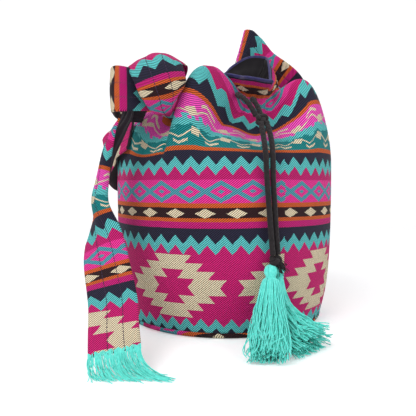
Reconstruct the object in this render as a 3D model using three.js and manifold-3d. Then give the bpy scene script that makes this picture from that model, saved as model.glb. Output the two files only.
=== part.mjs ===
// Woven bucket bag: a tube of patterned jacquard cloth on a round base, gathered at the neck by a
// drawstring so that its shoulder puffs into lobes and its mouth opens in a ruffled collar.
// A wide strap loops up behind the mouth, its knot sits at the left shoulder and its tail hangs to the
// floor with a fringe, and two thread tassels hang from the drawstring.
// Millimetres, +Z up, origin at the centre of the base, front towards -Y, right towards +X.

import * as THREE from "three";
import { mergeVertices } from "three/addons/utils/BufferGeometryUtils.js";
import Module from "manifold-3d";

const wasm = await Module();
wasm.setup();

// Clearance between pieces that touch
const GAP = 0.35;

// Bag wall, from the base seam to the shoulder
const BASE_RADIUS = 127;
const BELLY_RADIUS = 140;
const SEAM_HEIGHT = 7;
const BELLY_HEIGHT = 110;
const SHOULDER_HEIGHT = 172;
const WALL = 1.6;

// Puffed lobes of the shoulder and the scooped hollows between them
const LOBE_HEIGHT = 304;
const LOBE_INSET = 45;
const SCOOP_HEIGHT = 217;
const SCOOP_INSET = 34;

// Neck, held by the drawstring, set forward and to the right of the base
const NECK_RADIUS = 35;
const NECK_HEIGHT = 289;
const NECK_TILT = 18;
const MOUTH_RIGHT = 34;
const MOUTH_FORWARD = 42;

// Ruffled collar above the neck: the front lip falls outwards, the back stands up, the left side
// sags and the right side folds in along a straight line beside the middle of the mouth
const LIP_FLARE = 22;
const LIP_RISE = 18;
const LIP_BEARING = 16;
const LIP_SIDE = 22.5;
const BACK_FLARE = 5;
const BACK_RISE = 32;
const SAG = 16;
const SAG_BEARING = -100;
const RUFFLE = 4;
const PLEATS = 10;
const PLEAT_DEPTH = 1.6;
const BINDING = 3.2;

// Folds of the shoulder: the angle from the front, and how full the cloth is there
const FOLDS = [
  [-65, 0.62],
  [-50, 0.58],
  [-34, 0.34],
  [-19, 1],
  [-3, 0.28],
  [19, 0],
  [34, 0.1],
  [58, 0.95],
  [92, 0.5],
  [128, 0.9],
  [162, 0.5],
  [196, 0.9],
  [232, 0.5],
  [264, 0.75],
];

// How far each row of the folds has come from the row it starts at, in a hollow and on a lobe
const BROW_RISE = { hollow: 0.7, lobe: 0.48 };
const THROAT_RISE = { hollow: 0.62, lobe: 0.5 };
const THROAT_REACH = { hollow: 0.2, lobe: 0.34 };
const INNER_RISE = 0.2;
const INNER_REACH = 0.42;
const CREST_RISE = 0.83;
const CREST_INSET = 0.3;
const PLAIN_ROWS = 4;
const NECK_ROW = 8;
const SEAM_ROWS = 0.008;
const COLLAR_ROW = 8.5;
const SHOULDER_LIFT = { hollow: -4, lobe: 8 };
const NECK_PINCH = 4;

// Base and lining
const BASE_THICKNESS = 2.4;
const BASE_TURN_UP = 6;
const LINING = 1;
const LINING_SLACK = 1.6;
const LINING_TOP_ROW = 9.5;

// Shoulder strap and knotted tail, and the level their heights are counted from
const STRAP_LEVEL = 312;
const STRAP_WIDTH = 48;
const STRAP_THICKNESS = 3;
const ROLL_ANGLE = (200 * Math.PI) / 180;
const ROLL_START = 0.45;
const FRINGE_THICKNESS = 2.6;
const FRINGE_BUNDLES = 9;
const FRINGE_SWEEP = 34;
const FRINGE_FORWARD = 12;
const KNOT_DROP = 41.5;
const CROWN_CURL = 14;

// Drawstring, its knots and the tassels
const CORD_DIAMETER = 6;
const CHANNEL_CLEARANCE = 1.25;
const HOLE_CLEARANCE = 1.2;
const KNOT_RADIUS = 6.5;
const END_KNOT_RADIUS = 6;
const TASSEL_HEAD_RADIUS = 7;
const TASSEL_TIE_THICKNESS = 2;
const TASSEL_LENGTH = 100;
const TASSEL_SPREAD = 20;
const TASSEL_BUNDLES = 8;
const TASSEL_GROOVE = 0.06;
const TASSEL_SNUG = 0.94;
const TIE_START = TASSEL_HEAD_RADIUS * 1.8;
const TIE_END = TASSEL_HEAD_RADIUS * 2.3;

// Facets
const COLUMNS = 52;
const LINING_COLUMNS = 26;
const BASE_COLUMNS = 36;
const CORD_SIDES = 8;
const LOOP_STEPS = 38;
const DRAWSTRING_STEPS = 12;
const BINDING_SIDES = 6;
const TASSEL_SIDES = 16;
const SKIRT_STEPS = 9;
const KNOT_SIDES = 12;
const KNOT_STACKS = 8;
const FRINGE_STEPS = 5;
const BAND_STEPS = 3;

// Surface colours
const JACQUARD_PINK = 0xd0247f;
const LINING_BLACK = 0x1d1a1e;
const CORD_BLACK = 0x2a2629;
const BINDING_NAVY = 0x28234b;
const THREAD_MINT = 0x46dcc8;

const radians = (degrees) => (degrees * Math.PI) / 180;
const mix = (a, b, share) => a + (b - a) * share;

// A point at an angle from the front round the bag's axis.
function around(degrees, radius, height) {
  const angle = radians(degrees);
  return new THREE.Vector3(radius * Math.sin(angle), -radius * Math.cos(angle), height);
}

// How full the shoulder is at an angle: 1 on the puffed lobes, 0 in the deepest hollow.
function fullness(degrees) {
  const first = FOLDS[0][0];
  const turned = first + ((((degrees - first) % 360) + 360) % 360);
  const next = FOLDS.findIndex(([angle]) => angle > turned);
  const [a, fa] = FOLDS[next < 0 ? FOLDS.length - 1 : next - 1];
  const [b, fb] = next < 0 ? [first + 360, FOLDS[0][1]] : FOLDS[next];
  const share = (turned - a) / (b - a);
  return mix(fa, fb, 0.5 - 0.5 * Math.cos(Math.PI * share));
}

// The control rows of a wall at an angle, from the base seam up to the rim of the mouth:
// radius, height and how much of the mouth's shift the row takes.
function wallRows(degrees, full, wave) {
  const neck = NECK_HEIGHT - NECK_TILT * Math.cos(radians(degrees));
  const browLow = mix(SHOULDER_HEIGHT, SCOOP_HEIGHT, BROW_RISE.hollow);
  const browHigh = mix(SHOULDER_HEIGHT, LOBE_HEIGHT, BROW_RISE.lobe);
  const throatLow = mix(SCOOP_HEIGHT, neck, THROAT_RISE.hollow);
  const throatHigh = mix(LOBE_HEIGHT, neck, THROAT_RISE.lobe);
  const crest = mix(SCOOP_HEIGHT, mix(SHOULDER_HEIGHT, LOBE_HEIGHT, CREST_RISE), full);
  const crestRadius = BELLY_RADIUS - mix(SCOOP_INSET, LOBE_INSET * CREST_INSET, full);
  const innerRadius = mix(NECK_RADIUS, BELLY_RADIUS - LOBE_INSET, mix(INNER_REACH, 1, full));
  const throatReach = mix(THROAT_REACH.hollow, THROAT_REACH.lobe, full);
  const throatRadius = mix(NECK_RADIUS, innerRadius, throatReach);
  const pleat = PLEAT_DEPTH * wave;
  const ahead = (0.5 + 0.5 * Math.cos(radians(degrees - LIP_BEARING))) ** 2;
  const ruffle = RUFFLE * (1 - 2 * fullness(degrees) + 0.4 * wave);
  const turnedIn = LIP_SIDE / Math.max(Math.sin(radians(degrees)), 0.1) - NECK_RADIUS;
  const flare = Math.min(mix(BACK_FLARE, LIP_FLARE, ahead) + ruffle, turnedIn);
  const sag = SAG * Math.max(0, Math.cos(radians(degrees - SAG_BEARING))) ** 2;
  const rise = mix(BACK_RISE, LIP_RISE, ahead) - sag;
  return [
    [BASE_RADIUS, SEAM_HEIGHT, 0],
    [mix(BASE_RADIUS, BELLY_RADIUS, 0.75), mix(SEAM_HEIGHT, BELLY_HEIGHT, 0.36), 0],
    [BELLY_RADIUS, BELLY_HEIGHT, 0],
    [BELLY_RADIUS, SHOULDER_HEIGHT + mix(SHOULDER_LIFT.hollow, SHOULDER_LIFT.lobe, full), 0],
    [BELLY_RADIUS, mix(browLow, browHigh, full), 0],
    [crestRadius, crest, 0.1],
    [innerRadius + pleat, mix(mix(SCOOP_HEIGHT, neck, INNER_RISE), LOBE_HEIGHT, full), 0.5],
    [throatRadius + pleat * 1.5, mix(throatLow, throatHigh, full), 0.88],
    [NECK_RADIUS - NECK_PINCH + pleat, neck, 1],
    [NECK_RADIUS + Math.max(flare, 0) * 0.4, neck + rise * 0.55, 1],
    [NECK_RADIUS + flare, neck + rise, 1],
  ];
}

const LAST_ROW = wallRows(0, 0, 0).length - 1;
const TOP_ROW = LAST_ROW - 0.1;

// A value on a uniform cubic B-spline through its first and last control values.
function spline(values, place) {
  const last = values.length - 1;
  const span = Math.min(Math.floor(place), last - 1);
  const t = place - span;
  const at = (i) => {
    if (i < 0) return 2 * values[0] - values[1];
    if (i > last) return 2 * values[last] - values[last - 1];
    return values[i];
  };
  const b0 = (1 - t) ** 3;
  const b1 = 3 * t ** 3 - 6 * t ** 2 + 4;
  const b2 = -3 * t ** 3 + 3 * t ** 2 + 3 * t + 1;
  const b3 = t ** 3;
  return (b0 * at(span - 1) + b1 * at(span) + b2 * at(span + 1) + b3 * at(span + 2)) / 6;
}

// A point of the wall's outer face.
function wallPoint(degrees, row) {
  const wave = Math.cos(radians(degrees) * PLEATS);
  return rowPoint(wallRows(degrees, fullness(degrees), wave), degrees, row);
}

// A point of the slack lining, which takes the collar's ruffles but not the lobes and pleats.
function slackPoint(degrees, row) {
  return rowPoint(wallRows(degrees, 0, 0), degrees, row);
}

function rowPoint(rows, degrees, row) {
  const radius = spline(rows.map((r) => r[0]), row);
  const height = spline(rows.map((r) => r[1]), row);
  const shift = spline(rows.map((r) => r[2]), row);
  const point = around(degrees, radius, height);
  point.x += shift * MOUTH_RIGHT;
  point.y -= shift * MOUTH_FORWARD;
  return point;
}

// The outward direction of a surface of the bag.
function outward(surface, degrees, row) {
  const low = Math.max(row - 0.05, 0);
  const high = Math.min(row + 0.05, LAST_ROW);
  const up = surface(degrees, high).sub(surface(degrees, low));
  const along = surface(degrees + 0.5, row).sub(surface(degrees - 0.5, row));
  return along.cross(up).normalize();
}

function wallNormal(degrees, row) {
  return outward(wallPoint, degrees, row);
}

// A point a distance inside the wall's outer face.
function insideWall(degrees, row, depth) {
  return wallPoint(degrees, row).addScaledVector(wallNormal(degrees, row), -depth);
}

// A closed body of rings of points, capped at both ends, or joined end to end.
function ringBody(rings, joined = false) {
  const sides = rings[0].length;
  const points = rings.flat();
  const faces = [];
  const bands = joined ? rings.length : rings.length - 1;
  for (let r = 0; r < bands; r++) {
    const here = r * sides;
    const there = ((r + 1) % rings.length) * sides;
    for (let s = 0; s < sides; s++) {
      const next = (s + 1) % sides;
      faces.push([here + s, here + next, there + next], [here + s, there + next, there + s]);
    }
  }
  if (!joined) {
    const end = (rings.length - 1) * sides;
    for (let s = 0; s < sides / 2 - 1; s++) {
      const [a, b, c, d] = [s, s + 1, sides - 2 - s, sides - 1 - s];
      faces.push([b, a, c], [c, a, d]);
      faces.push([end + a, end + b, end + c], [end + a, end + c, end + d]);
    }
  }
  return facingOut(points, faces);
}

// A closed shell between rings of outer points and rings of inner points, facet for facet alike.
function shellBody(outer, inner) {
  const sides = outer[0].length;
  const count = outer.length * sides;
  const points = [...outer.flat(), ...inner.flat()];
  const faces = [];
  for (let s = 0; s < sides; s++) {
    const next = (s + 1) % sides;
    for (let r = 0; r < outer.length - 1; r++) {
      const [a, b, c, d] = [r * sides + s, r * sides + next, (r + 1) * sides + next, (r + 1) * sides + s];
      faces.push([a, b, c], [a, c, d]);
      faces.push([count + a, count + c, count + b], [count + a, count + d, count + c]);
    }
    const top = count - sides;
    faces.push([s, count + s, count + next], [s, count + next, next]);
    faces.push([top + s, top + next, count + top + next], [top + s, count + top + next, count + top + s]);
  }
  return facingOut(points, faces);
}

// A geometry of points and triangles, turned so that its faces point outwards.
function facingOut(points, faces) {
  let volume = 0;
  for (const [a, b, c] of faces) {
    volume += points[a].dot(points[b].clone().cross(points[c]));
  }
  const turned = volume < 0 ? faces.map(([a, b, c]) => [a, c, b]) : faces;
  const geometry = new THREE.BufferGeometry().setFromPoints(points);
  geometry.setIndex(turned.flat());
  return geometry;
}

// A closed geometry as a solid that can be cut, and back.
function toSolid(geometry) {
  const plain = new THREE.BufferGeometry();
  plain.setAttribute("position", geometry.getAttribute("position"));
  plain.setIndex(geometry.index);
  const merged = mergeVertices(plain, 1e-4);
  const vertProperties = new Float32Array(merged.getAttribute("position").array);
  const triVerts = new Uint32Array(merged.index.array);
  return new wasm.Manifold(new wasm.Mesh({ numProp: 3, vertProperties, triVerts }));
}

function toGeometry(solid) {
  const mesh = solid.getMesh();
  const geometry = new THREE.BufferGeometry();
  geometry.setAttribute("position", new THREE.BufferAttribute(mesh.vertProperties, 3));
  geometry.setIndex(new THREE.BufferAttribute(mesh.triVerts, 1));
  return geometry;
}

// A round cord along a smooth curve.
function cordBody(curve, diameter, steps) {
  const section = new THREE.Shape();
  for (let s = 0; s < CORD_SIDES; s++) {
    const angle = (2 * Math.PI * s) / CORD_SIDES;
    const x = (diameter / 2) * Math.cos(angle);
    const y = (diameter / 2) * Math.sin(angle);
    if (s === 0) section.moveTo(x, y);
    else section.lineTo(x, y);
  }
  section.closePath();
  return new THREE.ExtrudeGeometry(section, { steps, extrudePath: curve });
}

// The rows of facets from one row of a wall to another: one to a control row on the plain lower
// wall, two on the folds.
function facetRows(from, to) {
  const rows = [from];
  for (let row = 0.5; row < to; row += 0.5) {
    const plain = row < PLAIN_ROWS;
    if (row > from && !(plain && row % 1)) rows.push(row);
  }
  rows.push(to);
  return rows;
}

// One ring of points round a surface of the bag, a distance inside it.
function surfaceRing(surface, row, depth, columns) {
  const ring = [];
  for (let c = 0; c < columns; c++) {
    const degrees = (360 * c) / columns;
    const normal = outward(surface, degrees, row);
    ring.push(surface(degrees, row).addScaledVector(normal, -depth));
  }
  return ring;
}

// The space left between wall and lining, wide enough at the neck for the drawstring.
function liningDepth(row) {
  const channel = Math.exp(-(((row - NECK_ROW) / 0.55) ** 2));
  const slack = LINING_SLACK * Math.min(Math.max(row - PLAIN_ROWS, 0), 1);
  return WALL + GAP * 2 + channel * (CORD_DIAMETER + CHANNEL_CLEARANCE * 2) + slack;
}

// The drawstring's circle inside its channel.
function channelPoint(degrees) {
  return insideWall(degrees, NECK_ROW, WALL + CHANNEL_CLEARANCE + CORD_DIAMETER / 2);
}

// Where the drawstring leaves the neck and goes down to its knot: points chosen by hand.
const KNOT_CENTRE = new THREE.Vector3(42, -114, 242);
const LEFT_EXIT = [
  new THREE.Vector3(35.9, -112.5, 246.2),
  new THREE.Vector3(26.5, -105, 263.5),
  new THREE.Vector3(16.5, -98.5, 274.5),
];
const RIGHT_EXIT = [
  new THREE.Vector3(41.7, -109.1, 247.4),
  new THREE.Vector3(38.5, -100.5, 259),
  new THREE.Vector3(34, -94, 267.5),
];
const CHANNEL_START = -24;
const CHANNEL_END = -345;
const RIGHT_EXIT_ANGLE = -1;

// The shares of the drawstring loop's length where it passes through the wall
const LEFT_HOLE = [0.06, 0.24];
const RIGHT_HOLE = [0.94, 0.82];

// The run of the drawstring from the knot, in through one hole, round the neck and out at the other.
function loopCurve() {
  const points = [...LEFT_EXIT];
  for (let degrees = CHANNEL_START; degrees > CHANNEL_END; degrees -= 12) {
    points.push(channelPoint(degrees));
  }
  points.push(insideWall(RIGHT_EXIT_ANGLE, NECK_ROW, WALL / 2));
  points.push(...[...RIGHT_EXIT].reverse());
  return new THREE.CatmullRomCurve3(points, false, "centripetal");
}

function drawstringLoop() {
  return cordBody(loopCurve(), CORD_DIAMETER, LOOP_STEPS);
}

// A short tube along the drawstring where it passes through the wall, wide enough to clear it.
function holeCutter([from, to]) {
  const curve = loopCurve();
  const points = [];
  for (let share = 0; share <= 1; share += 0.25) {
    points.push(curve.getPointAt(mix(from, to, share)));
  }
  const run = new THREE.CatmullRomCurve3(points, false, "centripetal");
  return toSolid(cordBody(run, CORD_DIAMETER + 2 * HOLE_CLEARANCE, 8));
}

// A run of the jacquard wall from one row to another, with the drawstring's holes cut out of it.
function bagWall(from, to) {
  const rows = facetRows(from, to);
  const outer = rows.map((row) => surfaceRing(wallPoint, row, 0, COLUMNS));
  const inner = rows.map((row) => surfaceRing(wallPoint, row, WALL, COLUMNS));
  const wall = toSolid(shellBody(outer, inner));
  return toGeometry(wall.subtract(holeCutter(LEFT_HOLE)).subtract(holeCutter(RIGHT_HOLE)));
}

// The bound edge of the mouth, a round tape that follows the rim.
function mouthBinding() {
  const points = [];
  for (let c = 0; c < COLUMNS; c++) {
    const degrees = (360 * c) / COLUMNS;
    const edge = insideWall(degrees, TOP_ROW, WALL / 2);
    const out = edge.clone().sub(insideWall(degrees, TOP_ROW - 0.1, WALL / 2)).normalize();
    points.push([edge.addScaledVector(out, BINDING / 2 + GAP), out, wallNormal(degrees, TOP_ROW)]);
  }
  const rings = points.map(([centre, out, normal]) => {
    const ring = [];
    for (let s = 0; s < BINDING_SIDES; s++) {
      const angle = (2 * Math.PI * (s + 0.5)) / BINDING_SIDES;
      const point = centre.clone().addScaledVector(out, (BINDING / 2) * Math.cos(angle));
      ring.push(point.addScaledVector(normal, (BINDING / 2) * Math.sin(angle)));
    }
    return ring;
  });
  return ringBody(rings, true);
}

// The round base, its edge turned up inside the seam of the wall.
function basePanel() {
  const edge = BASE_RADIUS;
  const rim = SEAM_HEIGHT - GAP;
  const profile = [
    new THREE.Vector2(0, 0),
    new THREE.Vector2(edge - BASE_TURN_UP, 0),
    new THREE.Vector2(edge - BASE_TURN_UP * 0.3, rim * 0.3),
    new THREE.Vector2(edge, rim),
    new THREE.Vector2(edge - BASE_THICKNESS, rim),
    new THREE.Vector2(edge - BASE_TURN_UP * 0.3 - BASE_THICKNESS, rim * 0.3 + BASE_THICKNESS * 0.6),
    new THREE.Vector2(edge - BASE_TURN_UP - BASE_THICKNESS, BASE_THICKNESS),
    new THREE.Vector2(0, BASE_THICKNESS),
  ];
  const geometry = new THREE.LatheGeometry(profile, BASE_COLUMNS);
  geometry.rotateX(Math.PI / 2);
  return geometry;
}

// The black lining, a looser tube inside the wall.
function liningWall() {
  const rows = facetRows(0, LINING_TOP_ROW);
  const ring = (row, depth) => surfaceRing(slackPoint, row, liningDepth(row) + depth, LINING_COLUMNS);
  return shellBody(rows.map((row) => ring(row, 0)), rows.map((row) => ring(row, LINING)));
}

// The lining's bottom, a disc that lies on the base.
function liningBase() {
  const floor = BASE_THICKNESS + GAP;
  const radius = BASE_RADIUS - BASE_TURN_UP - BASE_THICKNESS - LINING;
  const profile = [
    new THREE.Vector2(0, floor),
    new THREE.Vector2(radius, floor),
    new THREE.Vector2(radius, floor + LINING),
    new THREE.Vector2(0, floor + LINING),
  ];
  const geometry = new THREE.LatheGeometry(profile, BASE_COLUMNS);
  geometry.rotateX(Math.PI / 2);
  return geometry;
}

// A flat band along stations of a centre point and a width direction. A station's span is the share
// of the width that is not gathered in, and its roll turns the leading edge over to the reverse side.
// A band with a curl bends back along its leading edge by that distance.
function band(stations, across, curl = 0) {
  const path = new THREE.CatmullRomCurve3(stations.map((s) => s.at), false, "centripetal");
  const widths = new THREE.CatmullRomCurve3(stations.map((s) => s.wide), false, "centripetal");
  const rolls = stations.map((s) => s.roll);
  const spans = stations.map((s) => s.span);
  const last = stations.length - 1;
  const rings = [];
  for (let i = 0; i <= last * BAND_STEPS; i++) {
    const place = i / BAND_STEPS;
    const centre = path.getPoint(place / last);
    const along = path.getTangent(place / last);
    const wide = widths.getPoint(place / last);
    wide.addScaledVector(along, -wide.dot(along)).normalize();
    const face = along.clone().cross(wide);
    const span = spline(spans, place);
    rings.push(bandRing(centre, wide, face, span, across, spline(rolls, place), curl * span));
  }
  return ringBody(rings);
}

// The section of a band: its face from edge to edge and its reverse back again.
function bandRing(centre, wide, face, span, across, roll, curl) {
  const width = STRAP_WIDTH * span;
  const middle = [];
  let x = -width / 2;
  let y = 0;
  for (let i = 0; i <= across; i++) {
    const share = i / across;
    const turn = roll * ROLL_ANGLE * Math.max(0, (share - ROLL_START) / (1 - ROLL_START));
    middle.push([x, y - curl * Math.max(0, 2 * share - 1) ** 2, turn]);
    const nextShare = share + 0.5 / across;
    const nextTurn = roll * ROLL_ANGLE * Math.max(0, (nextShare - ROLL_START) / (1 - ROLL_START));
    x += (width / across) * Math.cos(nextTurn);
    y -= (width / across) * Math.sin(nextTurn);
  }
  const side = (height) =>
    middle.map(([px, py, turn]) => {
      const sx = px + height * Math.sin(turn);
      const sy = py + height * Math.cos(turn);
      return centre.clone().addScaledVector(wide, sx).addScaledVector(face, sy);
    });
  return [...side(STRAP_THICKNESS / 2), ...side(-STRAP_THICKNESS / 2).reverse()];
}

// A station of a band at an angle round the bag, a distance out from the belly and a height.
function station(degrees, standOff, height, wide, roll = 0, span = 1) {
  const at = around(degrees, BELLY_RADIUS + standOff, height);
  return { at, wide: new THREE.Vector3(...wide).normalize(), roll, span };
}

// A station sewn on the wall's outer face, its width round the wall or up it.
function seat(degrees, row, wide, lift, span = 1) {
  const at = wallPoint(degrees, row).addScaledVector(wallNormal(degrees, row), lift);
  return { at, wide: wide.normalize(), roll: 0, span };
}

function roundWall(degrees, row) {
  return wallPoint(degrees + 1, row).sub(wallPoint(degrees - 1, row));
}

function upWall(degrees, row) {
  return wallPoint(degrees, row + 0.1).sub(wallPoint(degrees, row - 0.1));
}

// The shoulder strap: sewn to the shoulder at the back right, looped up behind the mouth,
// down the back, round the left side and sewn in again under the knot.
function shoulderStrap() {
  const lift = STRAP_THICKNESS / 2 + GAP;
  const top = STRAP_LEVEL;
  const low = SHOULDER_HEIGHT;
  const fold = [-0.28, 0, -0.96];
  const stations = [];
  for (const [row, rise] of [[3.9, 0], [4.3, 1], [4.7, 4]]) {
    stations.push(seat(118, row, roundWall(118, row), lift + rise));
  }
  stations.push(
    station(122, -30, top - 1, [-0.7, 0.5, -0.35]),
    station(134, -63, top + 27, [-0.55, 0.1, -0.83]),
    station(136, -81, top + 43.5, [-0.36, 0, -0.93]),
    station(137, -93.5, top + 49, fold),
    station(149, -93.5, top + 51, fold),
    station(148, -85, top + 49, fold),
    station(150.5, -66.5, top + 42, [-0.35, 0, -0.95]),
    station(150, -44, top + 18, [-0.8, 0.1, -0.6]),
    station(152, -26, top - 12, [-1, 0.1, -0.1]),
    station(158, -6, low + 102, [-1, 0, 0]),
    station(167, 11, low + 56, [-1, 0, 0.1]),
    station(178, 13, low + 22, [-0.75, 0, 0.7]),
    station(199, 12, low + 6, [-0.1, 0, 1]),
    station(227, 11, low + 6, [0, 0, 1]),
    station(259, 11, low + 14, [0, 0, 1]),
    station(283, 13, low + 33, [-0.1, 0, 1]),
    seat(-65, 4, upWall(-65, 4), lift + 5),
    seat(-54, 4.2, upWall(-54, 4.2), lift + 1.2, 0.8),
  );
  return band(stations, 1);
}

// The knot's crown: gathered into the left crease behind, turned up and over, down the front and
// tucked in again.
function knotCrown() {
  const top = STRAP_LEVEL;
  const wide = [0.94, 0, 0.34];
  return band([
    seat(-42, 5.8, roundWall(-42, 5.8), GAP + 2.5, 0.15),
    station(-38, -38, top - 34, wide, 0, 0.45),
    station(-35.5, -24.5, top - 13, wide),
    station(-31.4, -2, top - 6.5, wide),
    station(-27.2, 20, top - 14, wide),
    station(-24.6, 22, top - 32, wide),
    station(-23.2, 17, top - 47.5, wide),
    station(-25.5, 5, top - 57, wide, 0, 0.45),
    seat(-38, 5.3, roundWall(-38, 5.3), GAP + 2.5, 0.16),
  ], 2, CROWN_CURL);
}

// The knot's wrap: out from inside the crown, across the front, round the left side and back to the
// shoulder, where it is gathered in.
function knotWrap() {
  const middle = STRAP_LEVEL - KNOT_DROP;
  const wide = [0, 0, -1];
  return band([
    station(-32.5, 0, middle, wide, 0, 0.6),
    station(-33.2, 6, middle, wide, 0, 0.6),
    station(-34.6, 31, middle, wide, 0, 0.7),
    station(-36.6, 43, middle, wide),
    station(-39.2, 44, middle, wide),
    station(-42.6, 35, middle - 1, wide),
    station(-46, 24, middle - 4, wide),
    station(-47.5, 6, middle - 9, wide, 0, 0.8),
    seat(-49, 4.9, upWall(-49, 4.9).negate(), STRAP_THICKNESS / 2 + GAP + 1.5, 0.4),
  ], 1);
}

// The tail: out from under the knot's wrap, its edge rolled over, then turned to the front and
// hanging to the floor.
function tailStations() {
  const top = STRAP_LEVEL;
  return [
    station(-36.8, 33.6, top - 48, [-0.894, -0.447, 0], 0, 0.28),
    station(-38.2, 29, top - 63, [-0.6, -0.75, 0.25], 0.3, 0.4),
    station(-43.6, 31, top - 81, [-0.75, -0.6, 0.25], 0.7, 0.55),
    station(-47.3, 38, top - 105, [-0.6, -0.75, 0.25], 1, 0.65),
    station(-48.3, 46, top - 137, [-0.35, -0.93, 0.1], 1, 0.85),
    station(-47.6, 53, top - 162, [0, -1, 0], 0.7),
    station(-43, 52, top - 198, [0.85, -0.5, 0], 0.2),
    station(-36, 62, top - 230, [1, -0.1, 0], 0),
    station(-29.6, 78, top - 256, [1, 0, 0], 0),
    station(-25.6, 96, top - 277, [1, 0, 0.05], 0),
    station(-22.6, 112, top - 291, [1, 0, 0.1], 0),
  ];
}

function tailStrap() {
  return band(tailStations(), 4);
}

// The fringe at the tail's end: bundles of thread side by side that drop to the floor, turn forward
// and lie on it, those on the right swept aside.
function tailFringe() {
  const stations = tailStations();
  const end = stations[stations.length - 1];
  const along = end.at.clone().sub(stations[stations.length - 2].at).normalize();
  const wide = end.wide.clone().addScaledVector(along, -end.wide.dot(along)).normalize();
  const floor = FRINGE_THICKNESS / 2;
  const count = FRINGE_BUNDLES * 2;
  const rings = [];
  for (let r = 0; r <= FRINGE_STEPS; r++) {
    const share = r / FRINGE_STEPS;
    const turn = (share * Math.PI) / 2;
    const top = [];
    const bottom = [];
    for (let b = 0; b <= count; b++) {
      const spot = end.at.clone().addScaledVector(along, GAP + floor);
      spot.addScaledVector(wide, (b / count - 0.5) * (STRAP_WIDTH - FRINGE_THICKNESS));
      const drop = spot.z - floor;
      spot.x += FRINGE_SWEEP * (b / count) * share * share;
      spot.y -= FRINGE_FORWARD * (1 - Math.cos(turn));
      spot.z = floor + drop * (1 - Math.sin(turn));
      const up = new THREE.Vector3(0, -drop * Math.cos(turn), FRINGE_FORWARD * Math.sin(turn)).normalize();
      const half = (FRINGE_THICKNESS / 2) * (b % 2 ? 1 : 0.6);
      top.push(spot.clone().addScaledVector(up, half));
      bottom.push(spot.clone().addScaledVector(up, -half));
    }
    rings.push([...top, ...bottom.reverse()]);
  }
  return ringBody(rings);
}

// Knots of the drawstring: round lumps with three turns of cord showing as lobes.
function knotBody(centre, radius) {
  const rings = [];
  for (let i = 1; i < KNOT_STACKS; i++) {
    const polar = (Math.PI * i) / KNOT_STACKS;
    const ring = [];
    for (let s = 0; s < KNOT_SIDES; s++) {
      const angle = (2 * Math.PI * s) / KNOT_SIDES;
      const swell = radius * (0.94 + 0.06 * Math.cos(3 * angle + 2 * polar));
      const flat = swell * Math.sin(polar);
      const x = flat * Math.cos(angle);
      const y = flat * Math.sin(angle);
      ring.push(new THREE.Vector3(x, y, swell * Math.cos(polar)).add(centre));
    }
    rings.push(ring);
  }
  return ringBody(rings);
}

// The two ends of the drawstring below the knot: points chosen by hand.
const END_KNOT_CENTRE = new THREE.Vector3(55.5, -137, 89);
const LEFT_TAIL = [
  new THREE.Vector3(41, -120.3, 237.8),
  new THREE.Vector3(42.5, -129.5, 222),
  new THREE.Vector3(43.5, -138.5, 203),
  new THREE.Vector3(44.5, -139, 178),
  new THREE.Vector3(46.5, -138.5, 152),
  new THREE.Vector3(49, -139, 124),
  new THREE.Vector3(51.8, -139.5, 103),
  new THREE.Vector3(52.8, -139.6, 95.4),
];
const RIGHT_TAIL = [
  new THREE.Vector3(47.2, -118.2, 238.8),
  new THREE.Vector3(51.5, -127.5, 222),
  new THREE.Vector3(53.5, -135, 203),
  new THREE.Vector3(54.5, -135.2, 178),
  new THREE.Vector3(56, -134.6, 152),
  new THREE.Vector3(57.4, -134.2, 124),
  new THREE.Vector3(58.2, -134.4, 103),
  new THREE.Vector3(58.6, -134.8, 95.4),
];

function drawstringTail(points) {
  const curve = new THREE.CatmullRomCurve3(points, false, "centripetal");
  return cordBody(curve, CORD_DIAMETER, DRAWSTRING_STEPS);
}

// Where a tassel's head hangs against the end knot.
function tasselHead(direction) {
  const reach = (END_KNOT_RADIUS + TASSEL_HEAD_RADIUS) * TASSEL_SNUG + GAP;
  return END_KNOT_CENTRE.clone().addScaledVector(new THREE.Vector3(...direction).normalize(), reach);
}

// The axis of a tassel from its head to where its threads end on the floor.
function tasselCurve(head, { bearing, axis }) {
  const out = new THREE.Vector3(...bearing).normalize();
  const fall = head.z - 6;
  const reach = Math.sqrt(Math.max(TASSEL_LENGTH ** 2 - fall ** 2, 1));
  const points = [head.clone()];
  for (const [far, down] of axis) {
    const point = head.clone().addScaledVector(out, reach * far);
    point.z = head.z - fall * down;
    points.push(point);
  }
  return new THREE.CatmullRomCurve3(points, false, "centripetal");
}

// The radius of a tassel along its axis: the round head, the tied neck and the spreading skirt.
function tasselRadius(reach) {
  const headEnd = TASSEL_HEAD_RADIUS * 2;
  if (reach < headEnd) {
    const rise = (reach - TASSEL_HEAD_RADIUS) / TASSEL_HEAD_RADIUS;
    const ball = TASSEL_HEAD_RADIUS * Math.sqrt(Math.max(1 - rise * rise, 0));
    return reach < TASSEL_HEAD_RADIUS ? ball : Math.max(ball, TASSEL_HEAD_RADIUS * 0.62);
  }
  const share = (reach - headEnd) / (TASSEL_LENGTH - TASSEL_HEAD_RADIUS);
  return mix(TASSEL_HEAD_RADIUS * 0.62, TASSEL_SPREAD, Math.min(share, 1) ** 0.75);
}

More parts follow.
